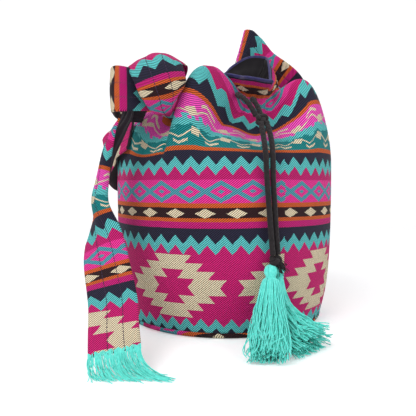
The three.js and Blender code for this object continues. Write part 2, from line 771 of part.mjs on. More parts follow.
// The frames of a tassel's axis, starting half a head above the head's centre.
function tasselRings(tassel, grow, reaches) {
  const curve = tasselCurve(tasselHead(tassel.hang), tassel);
  const length = curve.getLength();
  const side = new THREE.Vector3(0, 0, 1).cross(new THREE.Vector3(...tassel.bearing)).normalize();
  const rings = [];
  for (const reach of reaches) {
    const place = (reach - TASSEL_HEAD_RADIUS) / length;
    const along = curve.getTangentAt(Math.min(Math.max(place, 0), 1));
    const centre = curve.getPointAt(Math.min(Math.max(place, 0), 1));
    if (place < 0) centre.addScaledVector(along, place * length);
    const up = along.clone().cross(side).normalize();
    const ring = [];
    for (let s = 0; s < TASSEL_SIDES; s++) {
      const angle = (2 * Math.PI * s) / TASSEL_SIDES;
      const groove = reach > TIE_END ? TASSEL_GROOVE * Math.cos(angle * TASSEL_BUNDLES) : 0;
      const radius = (tasselRadius(reach) + grow) * (1 + groove);
      const point = centre.clone().addScaledVector(side, radius * Math.cos(angle));
      point.addScaledVector(up, radius * 0.7 * Math.sin(angle));
      point.z = Math.max(point.z, 0);
      ring.push(point);
    }
    rings.push(ring);
  }
  return rings;
}

function tasselThreads(tassel) {
  const reaches = [0.6, 2.5, TASSEL_HEAD_RADIUS, TIE_START, TIE_END];
  for (let i = 1; i <= SKIRT_STEPS; i++) {
    reaches.push(mix(TIE_END, TASSEL_LENGTH, i / SKIRT_STEPS));
  }
  return ringBody(tasselRings(tassel, 0, reaches));
}

// The tie of thread wound round a tassel's neck.
function tasselTie(tassel) {
  const inner = tasselRings(tassel, GAP, [TIE_START, TIE_END]);
  const outer = tasselRings(tassel, GAP + TASSEL_TIE_THICKNESS, [TIE_END, TIE_START]);
  return ringBody([...inner, ...outer], true);
}

// The two tassels: which way the head hangs from the end knot, which way the threads lie, and how far
// out and down the points of the axis come
const FRONT_TASSEL = {
  hang: [-0.42, -0.38, -0.82],
  bearing: [-0.1, -0.99, 0],
  axis: [[0.08, 0.16], [0.34, 0.52], [0.68, 0.84], [1, 1]],
};
const SIDE_TASSEL = {
  hang: [0.42, 0.5, -0.76],
  bearing: [0.72, -0.69, 0],
  axis: [[0.02, 0.22], [0.1, 0.52], [0.45, 0.87], [1, 1]],
};

const group = new THREE.Group();

// Adds one piece of the bag to the group.
function piece(name, geometry, color, roughness) {
  const material = new THREE.MeshStandardMaterial({ color, roughness, metalness: 0 });
  const mesh = new THREE.Mesh(geometry, material);
  mesh.name = name;
  group.add(mesh);
}

piece("bag_body", bagWall(0, PLAIN_ROWS - SEAM_ROWS), JACQUARD_PINK, 0.9);
piece("bag_shoulder", bagWall(PLAIN_ROWS, COLLAR_ROW - SEAM_ROWS * 2), JACQUARD_PINK, 0.9);
piece("bag_collar", bagWall(COLLAR_ROW, TOP_ROW), JACQUARD_PINK, 0.9);
piece("base_panel", basePanel(), JACQUARD_PINK, 0.9);
piece("lining", liningWall(), LINING_BLACK, 0.85);
piece("lining_base", liningBase(), LINING_BLACK, 0.85);
piece("mouth_binding", mouthBinding(), BINDING_NAVY, 0.85);
piece("shoulder_strap", shoulderStrap(), JACQUARD_PINK, 0.9);
piece("knot_crown", knotCrown(), JACQUARD_PINK, 0.9);
piece("knot_wrap", knotWrap(), JACQUARD_PINK, 0.9);
piece("tail_strap", tailStrap(), JACQUARD_PINK, 0.9);
piece("tail_fringe", tailFringe(), THREAD_MINT, 0.8);
piece("drawstring_loop", drawstringLoop(), CORD_BLACK, 0.8);
piece("drawstring_knot", knotBody(KNOT_CENTRE, KNOT_RADIUS), CORD_BLACK, 0.8);
piece("drawstring_tail_left", drawstringTail(LEFT_TAIL), CORD_BLACK, 0.8);
piece("drawstring_tail_right", drawstringTail(RIGHT_TAIL), CORD_BLACK, 0.8);
piece("drawstring_end_knot", knotBody(END_KNOT_CENTRE, END_KNOT_RADIUS), CORD_BLACK, 0.8);
for (const [name, tassel] of [["front", FRONT_TASSEL], ["side", SIDE_TASSEL]]) {
  piece(`tassel_${name}`, tasselThreads(tassel), THREAD_MINT, 0.8);
  piece(`tassel_${name}_tie`, tasselTie(tassel), THREAD_MINT, 0.8);
}

export default group;
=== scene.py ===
# %% [markdown]
# # A woven bucket bag
# A drawstring bucket bag of jacquard cloth stands on a pale floor. Its mouth is pulled in by a black
# braided cord, so the cloth above the shoulder puffs out into lobes and ruffles. Its wide strap is
# knotted at the left, hangs down in a fringed tail, and loops up behind the mouth. Two tassels of mint
# thread hang from the cord. Each cell below takes one step, such as a piece or a finish. Sizes are in
# millimetres and are those of the solid model, apart from soft folds and fine threads that only the visible
# bag has.

# %% Start from the solid model
import math
import bpy
import numpy as np
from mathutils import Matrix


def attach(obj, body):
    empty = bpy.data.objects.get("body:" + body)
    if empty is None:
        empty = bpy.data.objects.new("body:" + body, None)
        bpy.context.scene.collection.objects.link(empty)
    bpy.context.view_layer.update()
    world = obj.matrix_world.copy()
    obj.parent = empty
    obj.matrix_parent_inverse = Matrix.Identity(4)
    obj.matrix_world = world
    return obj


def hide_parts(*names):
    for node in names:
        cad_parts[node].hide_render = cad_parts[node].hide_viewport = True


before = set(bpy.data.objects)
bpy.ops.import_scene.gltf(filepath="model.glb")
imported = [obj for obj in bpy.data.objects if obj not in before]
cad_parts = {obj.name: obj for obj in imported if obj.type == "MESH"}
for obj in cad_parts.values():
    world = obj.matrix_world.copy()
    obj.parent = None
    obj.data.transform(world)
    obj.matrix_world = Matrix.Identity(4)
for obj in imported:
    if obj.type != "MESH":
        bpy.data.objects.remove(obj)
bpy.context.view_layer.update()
MM = 0.001
print("solid model:", len(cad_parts), "nodes")

# %% [markdown]
# The camera stands in front of the bag, at the height of its shoulder, and looks a little down and to the
# left. A 43 mm lens on a 36 mm sensor gives the square picture about the perspective of the photograph.

# %% Camera
EYE = np.array([0, -670, 170]) * MM
AIM = np.array([-20.6, 0, 139.2]) * MM
lens = bpy.data.cameras.new("camera")
lens.lens = 43.27
lens.sensor_width = 36
camera = bpy.data.objects.new("camera", lens)
bpy.context.collection.objects.link(camera)
camera.location = EYE
across, depth, rise = AIM - EYE
camera.rotation_euler = (math.atan2(math.hypot(across, depth), -rise), 0, math.atan2(-across, depth))
bpy.context.scene.camera = camera
print("camera", np.round(EYE, 3))

# %% [markdown]
# Cloth, cords and floor are grids. One helper lays quads over rows and columns of points and gives each
# corner its place in the fabric, in millimetres, so that a woven pattern follows the cloth and not the room.
# Where a grid closes on itself, the corners of the last column keep counting on, so the pattern has no torn
# seam. Where two materials are given, reverse says for each quad whether it takes the second one.

# %% Grids of points
def grid_piece(name, points, materials, fabric=None, wrap_rows=False, wrap_columns=True, caps=False,
               reverse=None):
    rows, columns = points.shape[:2]
    row_steps = np.arange(rows if wrap_rows else rows - 1)
    column_steps = np.arange(columns if wrap_columns else columns - 1)
    r, c = (part.ravel() for part in np.meshgrid(row_steps, column_steps, indexing="ij"))
    corners = [(0, 0), (0, 1), (1, 1), (1, 0)]
    quads = np.stack([(r + a) % rows * columns + (c + b) % columns for a, b in corners], -1)
    faces = quads.tolist()
    if caps:
        faces.append(list(range(columns))[::-1])
        faces.append(list(range((rows - 1) * columns, rows * columns)))
    mesh = bpy.data.meshes.new(name)
    mesh.from_pydata((points.reshape(-1, 3) * MM).tolist(), [], faces)
    for title, places in (fabric or {}).items():
        spots = np.zeros((len(mesh.loops), 2))
        spots[: quads.size] = np.stack([places[r + a, c + b] for a, b in corners], 1).reshape(-1, 2)
        mesh.uv_layers.new(name=title).data.foreach_set("uv", spots.ravel())
    for material in materials:
        mesh.materials.append(material)
    if reverse is not None:
        second = np.resize(reverse[r, c], len(faces)).astype("int32")
        mesh.polygons.foreach_set("material_index", second)
    mesh.polygons.foreach_set("use_smooth", np.ones(len(faces), bool))
    made = bpy.data.objects.new(name, mesh)
    bpy.context.collection.objects.link(made)
    print(name, len(faces), "faces")
    return made


def unit(vectors):
    return vectors / np.maximum(np.linalg.norm(vectors, axis=-1, keepdims=True), 1e-9)


def reach_along(points):
    steps = np.linalg.norm(np.diff(points, axis=0), axis=-1)
    return np.concatenate([0 * steps[:1], np.cumsum(steps, 0)])


# %% [markdown]
# Cords and straps run along smooth curves through a few points. A cubic curve paced by the square root of
# each distance goes through every point and never loops between two of them, so it suits cloth that is
# draped by hand.

# %% Smooth curves
def smooth(points, steps):
    points = np.asarray(points, float)
    ends = [2 * points[0] - points[1], *points, 2 * points[-1] - points[-2]]
    share = np.arange(steps)[:, None] / steps
    runs = []
    for p0, p1, p2, p3 in zip(ends, ends[1:], ends[2:], ends[3:]):
        d0, d1, d2 = (max(np.linalg.norm(b - a) ** 0.5, 1e-4) for a, b in ((p0, p1), (p1, p2), (p2, p3)))
        leave = ((p1 - p0) / d0 - (p2 - p0) / (d0 + d1) + (p2 - p1) / d1) * d1
        enter = ((p2 - p1) / d1 - (p3 - p1) / (d1 + d2) + (p3 - p2) / d2) * d1
        square = -3 * p1 + 3 * p2 - 2 * leave - enter
        cube = 2 * p1 - 2 * p2 + leave + enter
        runs.append(p1 + leave * share + square * share**2 + cube * share**3)
    return np.concatenate([*runs, points[-1:]])


def evenly(points, spacing):
    reach = reach_along(points)
    places = np.linspace(0, reach[-1], max(int(round(reach[-1] / spacing)), 2) + 1)
    return np.stack([np.interp(places, reach, points[:, k]) for k in range(3)], 1), reach[-1]


# %% [markdown]
# The wall is one tube of cloth. Eleven control rows give its radius and height at any angle round the bag:
# a plain belly below, lobes and hollows at the shoulder, a tight neck and a flared collar above. Angles are
# degrees from the front, growing to the right. Each fold is an angle and how full the cloth is there, from 0
# in a hollow to 1 on a lobe. A cloth simulation could gather the mouth as well, but rules put each lobe where
# the real cloth has it, and give the same one every time.

# %% Sizes and folds of the wall
BASE_RADIUS, BELLY_RADIUS, NECK_RADIUS = 127, 140, 35
SEAM_HEIGHT, BELLY_HEIGHT, SHOULDER_HEIGHT = 7, 110, 172
LOBE_HEIGHT, LOBE_INSET, SCOOP_HEIGHT, SCOOP_INSET = 304, 45, 217, 34
NECK_HEIGHT, NECK_TILT, NECK_PINCH, NECK_ROW = 289, 18, 4, 8
MOUTH_SHIFT = np.array([34, -42, 0])
LIP_FLARE, LIP_RISE, BACK_FLARE, BACK_RISE, LIP_BEARING = 22, 18, 5, 32, 16
LIP_SIDE, LIP_SLANT, SAG, SAG_BEARING = 22.5, 9, 21, -104
RUFFLE, PLEATS, PLEAT_DEPTH, WALL, TOP_ROW = 4, 10, 1.6, 1.6, 9.9
FOLDS = [(-65, 0.62), (-50, 0.58), (-34, 0.34), (-19, 1), (-8, 0.19), (19, 0), (34, 0.1), (58, 0.95),
         (92, 0.5), (128, 0.9), (162, 0.5), (196, 0.9), (232, 0.5), (264, 0.75), (295, 0.62)]


def mix(a, b, share):
    return a + (b - a) * share


def fullness(degrees):
    angles, fulls = np.array(FOLDS, float).T
    turned = angles[0] + (degrees - angles[0]) % 360
    fold = np.clip(np.searchsorted(angles, turned, side="right") - 1, 0, len(FOLDS) - 2)
    share = (turned - angles[fold]) / (angles[fold + 1] - angles[fold])
    return mix(fulls[fold], fulls[fold + 1], 0.5 - 0.5 * np.cos(np.pi * share))


print("folds round the mouth:", len(FOLDS))

# %% [markdown]
# A control row is a radius, a height and how much of the mouth's sideways shift it takes. The shares below
# say how far a row has come from the one it starts at, first in a hollow and then on a lobe. The lining takes
# the same rows as slack cloth, without lobes and pleats.

# %% The wall's control rows
BROW_RISE, THROAT_RISE, THROAT_REACH, SHOULDER_LIFT = (0.7, 0.48), (0.62, 0.5), (0.2, 0.34), (-4, 8)
INNER_RISE, INNER_REACH, CREST_RISE, CREST_INSET = 0.2, 0.42, 0.83, 0.3


def control_rows(degrees, slack):
    turn = np.radians(degrees)
    full = np.zeros_like(turn) if slack else fullness(degrees)
    wave = np.zeros_like(turn) if slack else np.cos(turn * PLEATS)
    neck = NECK_HEIGHT - NECK_TILT * np.cos(turn)
    brow_low = mix(SHOULDER_HEIGHT, SCOOP_HEIGHT, BROW_RISE[0])
    brow_high = mix(SHOULDER_HEIGHT, LOBE_HEIGHT, BROW_RISE[1])
    crest = mix(SCOOP_HEIGHT, mix(SHOULDER_HEIGHT, LOBE_HEIGHT, CREST_RISE), full)
    crest_radius = BELLY_RADIUS - mix(SCOOP_INSET, LOBE_INSET * CREST_INSET, full)
    inner_radius = mix(NECK_RADIUS, BELLY_RADIUS - LOBE_INSET, mix(INNER_REACH, 1, full))
    inner = mix(mix(SCOOP_HEIGHT, neck, INNER_RISE), LOBE_HEIGHT, full)
    throat_radius = mix(NECK_RADIUS, inner_radius, mix(*THROAT_REACH, full))
    throat_low = mix(SCOOP_HEIGHT, neck, THROAT_RISE[0])
    throat_high = mix(LOBE_HEIGHT, neck, THROAT_RISE[1])
    pleat = PLEAT_DEPTH * wave
    ahead = (0.5 + 0.5 * np.cos(turn - math.radians(LIP_BEARING))) ** 2
    flare = mix(BACK_FLARE, LIP_FLARE, ahead) + RUFFLE * (1 - 2 * fullness(degrees) + 0.4 * wave)
    flare = np.minimum(flare, LIP_SIDE / np.maximum(np.sin(turn), 0.1) - NECK_RADIUS)
    sag = SAG * np.maximum(np.cos(turn - math.radians(SAG_BEARING)), 0) ** 2
    climb = mix(BACK_RISE, LIP_RISE, ahead) - sag - LIP_SLANT * ahead * np.sin(turn)
    rows = [
        (BASE_RADIUS, SEAM_HEIGHT, 0),
        (mix(BASE_RADIUS, BELLY_RADIUS, 0.75), mix(SEAM_HEIGHT, BELLY_HEIGHT, 0.36), 0),
        (BELLY_RADIUS, BELLY_HEIGHT, 0),
        (BELLY_RADIUS, SHOULDER_HEIGHT + mix(*SHOULDER_LIFT, full), 0),
        (BELLY_RADIUS, mix(brow_low, brow_high, full), 0),
        (crest_radius, crest, 0.1),
        (inner_radius + pleat, inner, 0.5),
        (throat_radius + pleat * 1.5, mix(throat_low, throat_high, full), 0.88),
        (NECK_RADIUS - NECK_PINCH + pleat, neck, 1),
        (NECK_RADIUS + np.maximum(flare, 0) * 0.4, neck + climb * 0.55, 1),
        (NECK_RADIUS + flare, neck + climb, 1),
    ]
    points = []
    for radius, height, shift in rows:
        flat = [radius * np.sin(turn), -radius * np.cos(turn), height * np.ones_like(turn)]
        points.append(np.stack(flat, -1) + shift * MOUTH_SHIFT)
    return np.stack(points)


print("control rows:", len(control_rows(np.zeros(1), False)))

# %% [markdown]
# A cubic B-spline rounds the rows off: each point is a weighted mean of four rows next to each other, and
# the end rows are mirrored so that the curve reaches them. A place may lie between two rows. The frame at a
# point, with its directions round the bag, up and out, seats other pieces on the wall.

# %% The wall as a smooth surface
def spline_weights(places, count):
    weights = np.zeros((len(places), count + 2))
    for line, place in zip(weights, places):
        span = min(int(place), count - 2)
        t = place - span
        line[span : span + 4] = (1 - t) ** 3, 3 * t**3 - 6 * t**2 + 4, -3 * t**3 + 3 * t**2 + 3 * t + 1, t**3
    weights[:, 1] += 2 * weights[:, 0]
    weights[:, 2] -= weights[:, 0]
    weights[:, -2] += 2 * weights[:, -1]
    weights[:, -3] -= weights[:, -1]
    return weights[:, 1:-1] / 6


def wall(degrees, rows, slack=False):
    controls = control_rows(np.atleast_1d(np.asarray(degrees, float)), slack)
    return np.einsum("rk,kcx->rcx", spline_weights(np.atleast_1d(rows), len(controls)), controls)


def wall_frame(degrees, row):
    around = wall([degrees + 0.5], row)[0, 0] - wall([degrees - 0.5], row)[0, 0]
    up = wall([degrees], row + 0.05)[0, 0] - wall([degrees], row - 0.05)[0, 0]
    return wall([degrees], row)[0, 0], unit(around), unit(up), unit(np.cross(around, up))


print("neck at the front:", np.round(wall([0], NECK_ROW)[0, 0], 1))

# %% [markdown]
# Colours are written as the eye names them, in sRGB hex, and one function turns them into the linear
# numbers that light is calculated with. One more function adds a node with its settings and links. Noise on
# Object coordinates counts its patches per metre, so a patch size in millimetres is turned into that.

# %% Colours and nodes
def paint(code):
    parts = [int(code[i : i + 2], 16) / 255 for i in (0, 2, 4)]
    return (*(p / 12.92 if p <= 0.04045 else ((p + 0.055) / 1.055) ** 2.4 for p in parts), 1)


def per_metre(size):
    return 1 / (size * MM)


def add(tree, kind, *inputs, out=0, **settings):
    kind, _, operation = kind.partition(":")
    node = tree.nodes.new(kind if "Node" in kind else "ShaderNode" + kind)
    if operation:
        node.operation = operation
    for name, value in settings.items():
        setattr(node, name, value)
    for socket, value in zip(node.inputs, inputs):
        if isinstance(value, bpy.types.NodeSocket):
            tree.links.new(value, socket)
        elif value is not None:
            socket.default_value = value
    return node if out is None else node.outputs[out]


def cloth(name, roughness, sheen):
    material = bpy.data.materials.new(name)
    material.use_nodes = True
    shader = material.node_tree.nodes["Principled BSDF"]
    shader.inputs["Roughness"].default_value = roughness
    shader.inputs["Sheen Weight"].default_value = sheen
    shader.inputs["Sheen Roughness"].default_value = 0.5
    shader.inputs["Specular IOR Level"].default_value = 0.25
    return material, material.node_tree, shader


# %% [markdown]
# The drawstring is a round braid of black cotton, 6 mm thick. Cotton yarn scatters light and shows no
# mirror gloss, but each strand of the braid catches a thin pale line. The strands are in the mesh; the
# material only adds the yarn's fine twist, 0.8 mm a turn, and faded patches a few millimetres wide.

# %% Black braided cotton
YARN_TWIST, FADED_PATCH = 0.8, 4.545
black_cord, tree, shader = cloth("black braided cotton", 0.8, 0.1)
spot = add(tree, "SeparateXYZ", add(tree, "UVMap", uv_map="fabric"), out=None).outputs
twist = add(tree, "Math:SINE", add(tree, "Math:MULTIPLY", spot[0], math.tau / YARN_TWIST))
fade = add(tree, "TexNoise", add(tree, "TexCoord", out="Object"), None, per_metre(FADED_PATCH), 3)
tone = add(tree, "Math:MULTIPLY_ADD", twist, 0.16, fade)
tree.links.new(add(tree, "MixRGB", tone, paint("0d0a0c"), paint("2c2528")), shader.inputs["Base Color"])
tree.links.new(add(tree, "Bump", 0.5, 0.0003, None, twist), shader.inputs["Normal"])
print("material", black_cord.name)

# %% [markdown]
# A braid is a tube whose radius rises where a strand crosses over and dips between the strands. Two sets
# of three strands wind left and right round the cord, a third of a turn in each lay, and the higher one of
# them shows. The tube is turned along its path without twist, by carrying one side direction from ring to
# ring.

# %% Braided cords
CORD, LAY, STRANDS = 6, 6, 3
RING_SPACING, RING_SIDES = 0.6, 18


def braid(name, line, diameter=CORD, closed=False):
    line, length = evenly(np.asarray(line, float), RING_SPACING)
    if closed:
        line = line[:-1]
        along = unit(np.roll(line, -1, 0) - np.roll(line, 1, 0))
    else:
        along = unit(np.gradient(line, axis=0))
    side = unit(np.cross(along[0], [0.3, 0.9, 0.31]))
    sides = []
    for step in along:
        side = unit(side - step * np.dot(side, step))
        sides.append(side)
    sides = np.array(sides)
    other = np.cross(along, sides)
    angle = np.linspace(0, math.tau, RING_SIDES, endpoint=False)
    reach = np.arange(len(line) + 1) * RING_SPACING
    winding = reach[:-1, None] * math.tau / LAY
    height = np.maximum(np.cos(STRANDS * angle + winding), np.cos(STRANDS * angle - winding))
    radius = (diameter / 2) * (0.93 + 0.09 * height)[..., None]
    ring = np.cos(angle)[:, None] * sides[:, None] + np.sin(angle)[:, None] * other[:, None]
    girth = np.linspace(0, math.pi * diameter, RING_SIDES + 1)
    fabric = {"fabric": np.stack(np.meshgrid(reach, girth, indexing="ij"), -1)}
    tube = line[:, None] + ring * radius
    return grid_piece(name, tube, [black_cord], fabric, closed, caps=not closed), line, length


# %% [markdown]
# The cord leaves the knot, goes in through the cloth at the left, runs once round the neck inside its
# channel and comes out again at the right. Below the knot its two ends hang side by side to a second knot.
# A limp cord takes no sharp bend, so the loop's path is eased: each point moves to the mean of those within
# a few millimetres, near ones counting most, and the two ends stay where they are.

# %% The drawstring
KNOT_CENTRE = np.array([42, -114, 242])
LEFT_EXIT = [(35.9, -112.5, 246.2), (27.2, -110, 262.3), (14.2, -91.8, 274.9)]
RIGHT_EXIT = [(41.7, -109.1, 247.4), (38.5, -100.5, 259), (34, -94, 267.5)]
END_KNOT_CENTRE = np.array([55.5, -137, 89])
LEFT_TAIL = [(41, -120.3, 237.8), (42.9, -129.5, 222), (44.6, -138.5, 203), (46, -139, 178),
             (48, -138.5, 152), (50.2, -139, 124), (52, -139.5, 103), (52.8, -139.6, 95.4)]
RIGHT_TAIL = [(47.2, -118.2, 238.8), (50.9, -127.5, 222), (52.4, -135, 203), (53, -135.2, 178),
              (54.6, -134.6, 152), (56.4, -134.2, 124), (58, -134.4, 103), (58.6, -134.8, 95.4)]
CHANNEL_ANGLES = range(-24, -345, -12)
RIGHT_HOLE, CHANNEL_GAP, CORD_STEPS = -1, 1.25, 12


def inside_wall(degrees, inset):
    spot, _, _, out = wall_frame(degrees, NECK_ROW)
    return spot - out * inset


def eased(line, reach=8):
    even, _ = evenly(line, 1)
    weight = np.exp(-0.5 * (np.arange(-3 * reach, 3 * reach + 1) / reach) ** 2)
    before = 2 * even[0] - even[3 * reach : 0 : -1]
    after = 2 * even[-1] - even[-2 : -3 * reach - 2 : -1]
    longer = np.concatenate([before, even, after])
    return np.stack([np.convolve(longer[:, k], weight / weight.sum(), "valid") for k in range(3)], 1)


channel = [inside_wall(degrees, WALL + CHANNEL_GAP + CORD / 2) for degrees in CHANNEL_ANGLES]
loop_points = [*LEFT_EXIT, *channel, inside_wall(RIGHT_HOLE, WALL / 2), *RIGHT_EXIT[::-1]]
loop, loop_line, loop_length = braid("drawstring_loop_braid", eased(smooth(loop_points, CORD_STEPS)))
left_end, left_line, left_length = braid("drawstring_left_braid", smooth(LEFT_TAIL, CORD_STEPS))
right_end, right_line, right_length = braid("drawstring_right_braid", smooth(RIGHT_TAIL, CORD_STEPS))
print("cord lengths in mm:", round(loop_length), round(left_length), round(right_length))

# %% [markdown]
# A tied knot is the same cord wound round itself. A trefoil, the simplest closed knot, gives three strands
# that cross over each other on every side, which is what an overhand knot shows when it is pulled tight.
# Pulling also thins the cord a little.

# %% The two knots of the drawstring
PULLED_THIN = 0.92


def tied_knot(name, centre, size, lean):
    turn = np.linspace(0, math.tau, 241)
    out = size * (0.56 + 0.3 * np.cos(3 * turn))
    line = np.stack([out * np.cos(2 * turn), out * np.sin(2 * turn), size * 0.42 * np.sin(3 * turn)], 1)
    c, s = math.cos(lean), math.sin(lean)
    line = line @ np.array([[1, 0, 0], [0, c, -s], [0, s, c]]).T
    return braid(name, line + centre, CORD * PULLED_THIN, closed=True)[0]


knot = tied_knot("drawstring_knot_braid", KNOT_CENTRE, 6.2, 1.1)
end_knot = tied_knot("drawstring_end_knot_braid", END_KNOT_CENTRE, 5.8, 0.7)

# %% [markdown]
# The cloth is cotton jacquard: the pattern is woven in with coloured yarn, not printed, so every colour has
# the same dry surface. An image could carry the pattern, but nodes draw it sharp at any distance and from
# sizes that can be changed. It is a set of stripes across the cloth that mirrors itself every 176 mm.
# Distances are in fabric millimetres: across runs round the bag and along runs up it.

# %% Jacquard: where a point lies in the repeat
PATTERN_START, REPEAT = 62, 176
jacquard, tree, shader = cloth("woven cotton jacquard", 0.9, 0.04)
spot = add(tree, "SeparateXYZ", add(tree, "UVMap", uv_map="fabric"), out=None).outputs
across, along = spot[0], spot[1]
repeat = add(tree, "Math:SUBTRACT", along, PATTERN_START)
row = add(tree, "Math:PINGPONG", repeat, REPEAT)
pink_half = add(tree, "Math:GREATER_THAN", add(tree, "Math:FLOORED_MODULO", repeat, 2 * REPEAT), REPEAT)
print("the pattern mirrors itself every", REPEAT, "mm")

# %% [markdown]
# The plain stripes are a colour ramp with hard steps: a stripe starts at its place in the repeat and runs
# to the next. The last one is the ground of the figures, teal in one half of the mirrored repeat and lilac
# pink in the other.

# %% Jacquard: the plain stripes
TURQUOISE, CREAM = paint("5cc4c4"), paint("e4d4b4")
FIGURES_FROM = 150.5
STRIPES = [(0, "cf1972"), (45, "242238"), (62, "c81878"), (69, "d25e28"), (73, "2c1016"), (84, "d25e28"),
           (89, "ee3498"), (114, "c81870"), (129, "242238"), (145.5, "d25e28"), (FIGURES_FROM, "0e8486")]
ramp = add(tree, "ValToRGB", add(tree, "Math:DIVIDE", row, REPEAT), out=None)
ramp.color_ramp.interpolation = "CONSTANT"
for place, code in STRIPES[1:]:
    ramp.color_ramp.elements.new(place / REPEAT).color = paint(code)
ramp.color_ramp.elements[0].color = paint(STRIPES[0][1])
ramp.color_ramp.elements.remove(ramp.color_ramp.elements[-1])
figures = add(tree, "Math:GREATER_THAN", row, FIGURES_FROM)
lilac = add(tree, "Math:MULTIPLY", figures, pink_half)
colour = add(tree, "MixRGB", lilac, ramp.outputs[0], paint("f350bc"))
print("stripes", len(STRIPES))

# %% [markdown]
# Two zigzags of turquoise run between pink and navy. A zigzag is a line that goes up and down with the
# place across the cloth, so it is where the row number comes close to that line. The medallions are cream
# steps that go in by the same amount at each level, with a smaller stepped hole. A count that goes up and
# down again across the cloth mirrors each figure and repeats it.

# %% Jacquard: zigzags and medallions
LOW_ZIGZAG, HIGH_ZIGZAG = 45, 129
TOOTH_WIDTH, TOOTH_RISE, ZIGZAG_HALF, ZIGZAG_SHIFT = 9.05, 10, 5.4, 62.5
MEDALLION_SPACING, MEDALLION_SHIFT, STEP_SLANT = 68.5, 58.4, 0.85
tooth = add(tree, "Math:PINGPONG", add(tree, "Math:ADD", across, ZIGZAG_SHIFT), TOOTH_WIDTH)
tooth = add(tree, "Math:MULTIPLY_ADD", tooth, TOOTH_RISE / TOOTH_WIDTH, -TOOTH_RISE / 2)
upper = add(tree, "Math:GREATER_THAN", row, (LOW_ZIGZAG + HIGH_ZIGZAG) / 2)
middle = add(tree, "Math:MULTIPLY_ADD", upper, HIGH_ZIGZAG - LOW_ZIGZAG, LOW_ZIGZAG)
zigzag = add(tree, "Math:COMPARE", add(tree, "Math:SUBTRACT", row, middle), tooth, ZIGZAG_HALF)
colour = add(tree, "MixRGB", zigzag, colour, TURQUOISE)


def stepped(place, half_width, level, setback, top):
    step = add(tree, "Math:FLOOR", add(tree, "Math:DIVIDE", row, level))
    corner = add(tree, "Math:MULTIPLY_ADD", step, -setback, half_width)
    edge = add(tree, "Math:MULTIPLY_ADD", add(tree, "Math:MODULO", row, level), STEP_SLANT, corner)
    inside = add(tree, "Math:LESS_THAN", place, edge)
    return add(tree, "Math:MULTIPLY", inside, add(tree, "Math:LESS_THAN", row, top))


shifted = add(tree, "Math:ADD", across, MEDALLION_SHIFT)
medal = add(tree, "Math:PINGPONG", shifted, MEDALLION_SPACING)
medallion = stepped(medal, half_width=54.8, level=8.5, setback=13, top=34)
hole = stepped(medal, half_width=18.5, level=9.25, setback=12, top=18.5)
colour = add(tree, "MixRGB", add(tree, "Math:SUBTRACT", medallion, hole), colour, CREAM)
print("medallions", 2 * MEDALLION_SPACING, "mm apart")

# %% [markdown]
# Small cream diamonds sit in the dark stripe. In the pink stripe above them lies a lattice, a chain of open
# lozenges with a dot in each. Diamond and dot are both lozenges: the share of the half width and the share
# of the half height that a point has used up come to less than one.

# %% Jacquard: diamonds and lattice
DIAMOND_ROW, LATTICE_ROW, LOZENGE_SPACING = 78.5, 101.5, 17
DIAMOND_SHIFT, DIAMOND_HALF_WIDTH, DIAMOND_HALF_HEIGHT = 19.4, 11.5, 5.2
LATTICE_SHIFT, LATTICE_RISE, LATTICE_HALF = 2.4, 9.3, 2.6
DOT_HALF_WIDTH, DOT_HALF_HEIGHT = 4.2, 2.1


def lozenge(place, height, half_width, half_height):
    share = add(tree, "Math:DIVIDE", place, half_width)
    share = add(tree, "Math:ADD", share, add(tree, "Math:DIVIDE", height, half_height))
    return add(tree, "Math:LESS_THAN", share, 1)


gem = add(tree, "Math:PINGPONG", add(tree, "Math:ADD", across, DIAMOND_SHIFT), LOZENGE_SPACING)
height = add(tree, "Math:ABSOLUTE", add(tree, "Math:SUBTRACT", row, DIAMOND_ROW))
diamond = lozenge(gem, height, DIAMOND_HALF_WIDTH, DIAMOND_HALF_HEIGHT)
colour = add(tree, "MixRGB", diamond, colour, CREAM)

link = add(tree, "Math:PINGPONG", add(tree, "Math:ADD", across, LATTICE_SHIFT), LOZENGE_SPACING)
height = add(tree, "Math:ABSOLUTE", add(tree, "Math:SUBTRACT", row, LATTICE_ROW))
side = add(tree, "Math:MULTIPLY_ADD", link, -LATTICE_RISE / LOZENGE_SPACING, LATTICE_RISE)
lattice = add(tree, "Math:COMPARE", height, side, LATTICE_HALF)
dot = lozenge(link, height, DOT_HALF_WIDTH, DOT_HALF_HEIGHT)
lattice = add(tree, "Math:MAXIMUM", lattice, dot)
colour = add(tree, "MixRGB", lattice, colour, paint("4f9fae"))
print("diamonds", 2 * LOZENGE_SPACING, "mm apart")

# %% [markdown]
# The figured stripe has cream wedges joined by a thin line and a thick hook, on teal below and on lilac pink
# above. Both lines are float curves: their height over the width of one figure. A hook's curve drops far
# below the stripe where nothing is drawn. Where the two grounds meet lies a ragged turquoise border, from a
# random number for each 4.5 x 3 mm block.

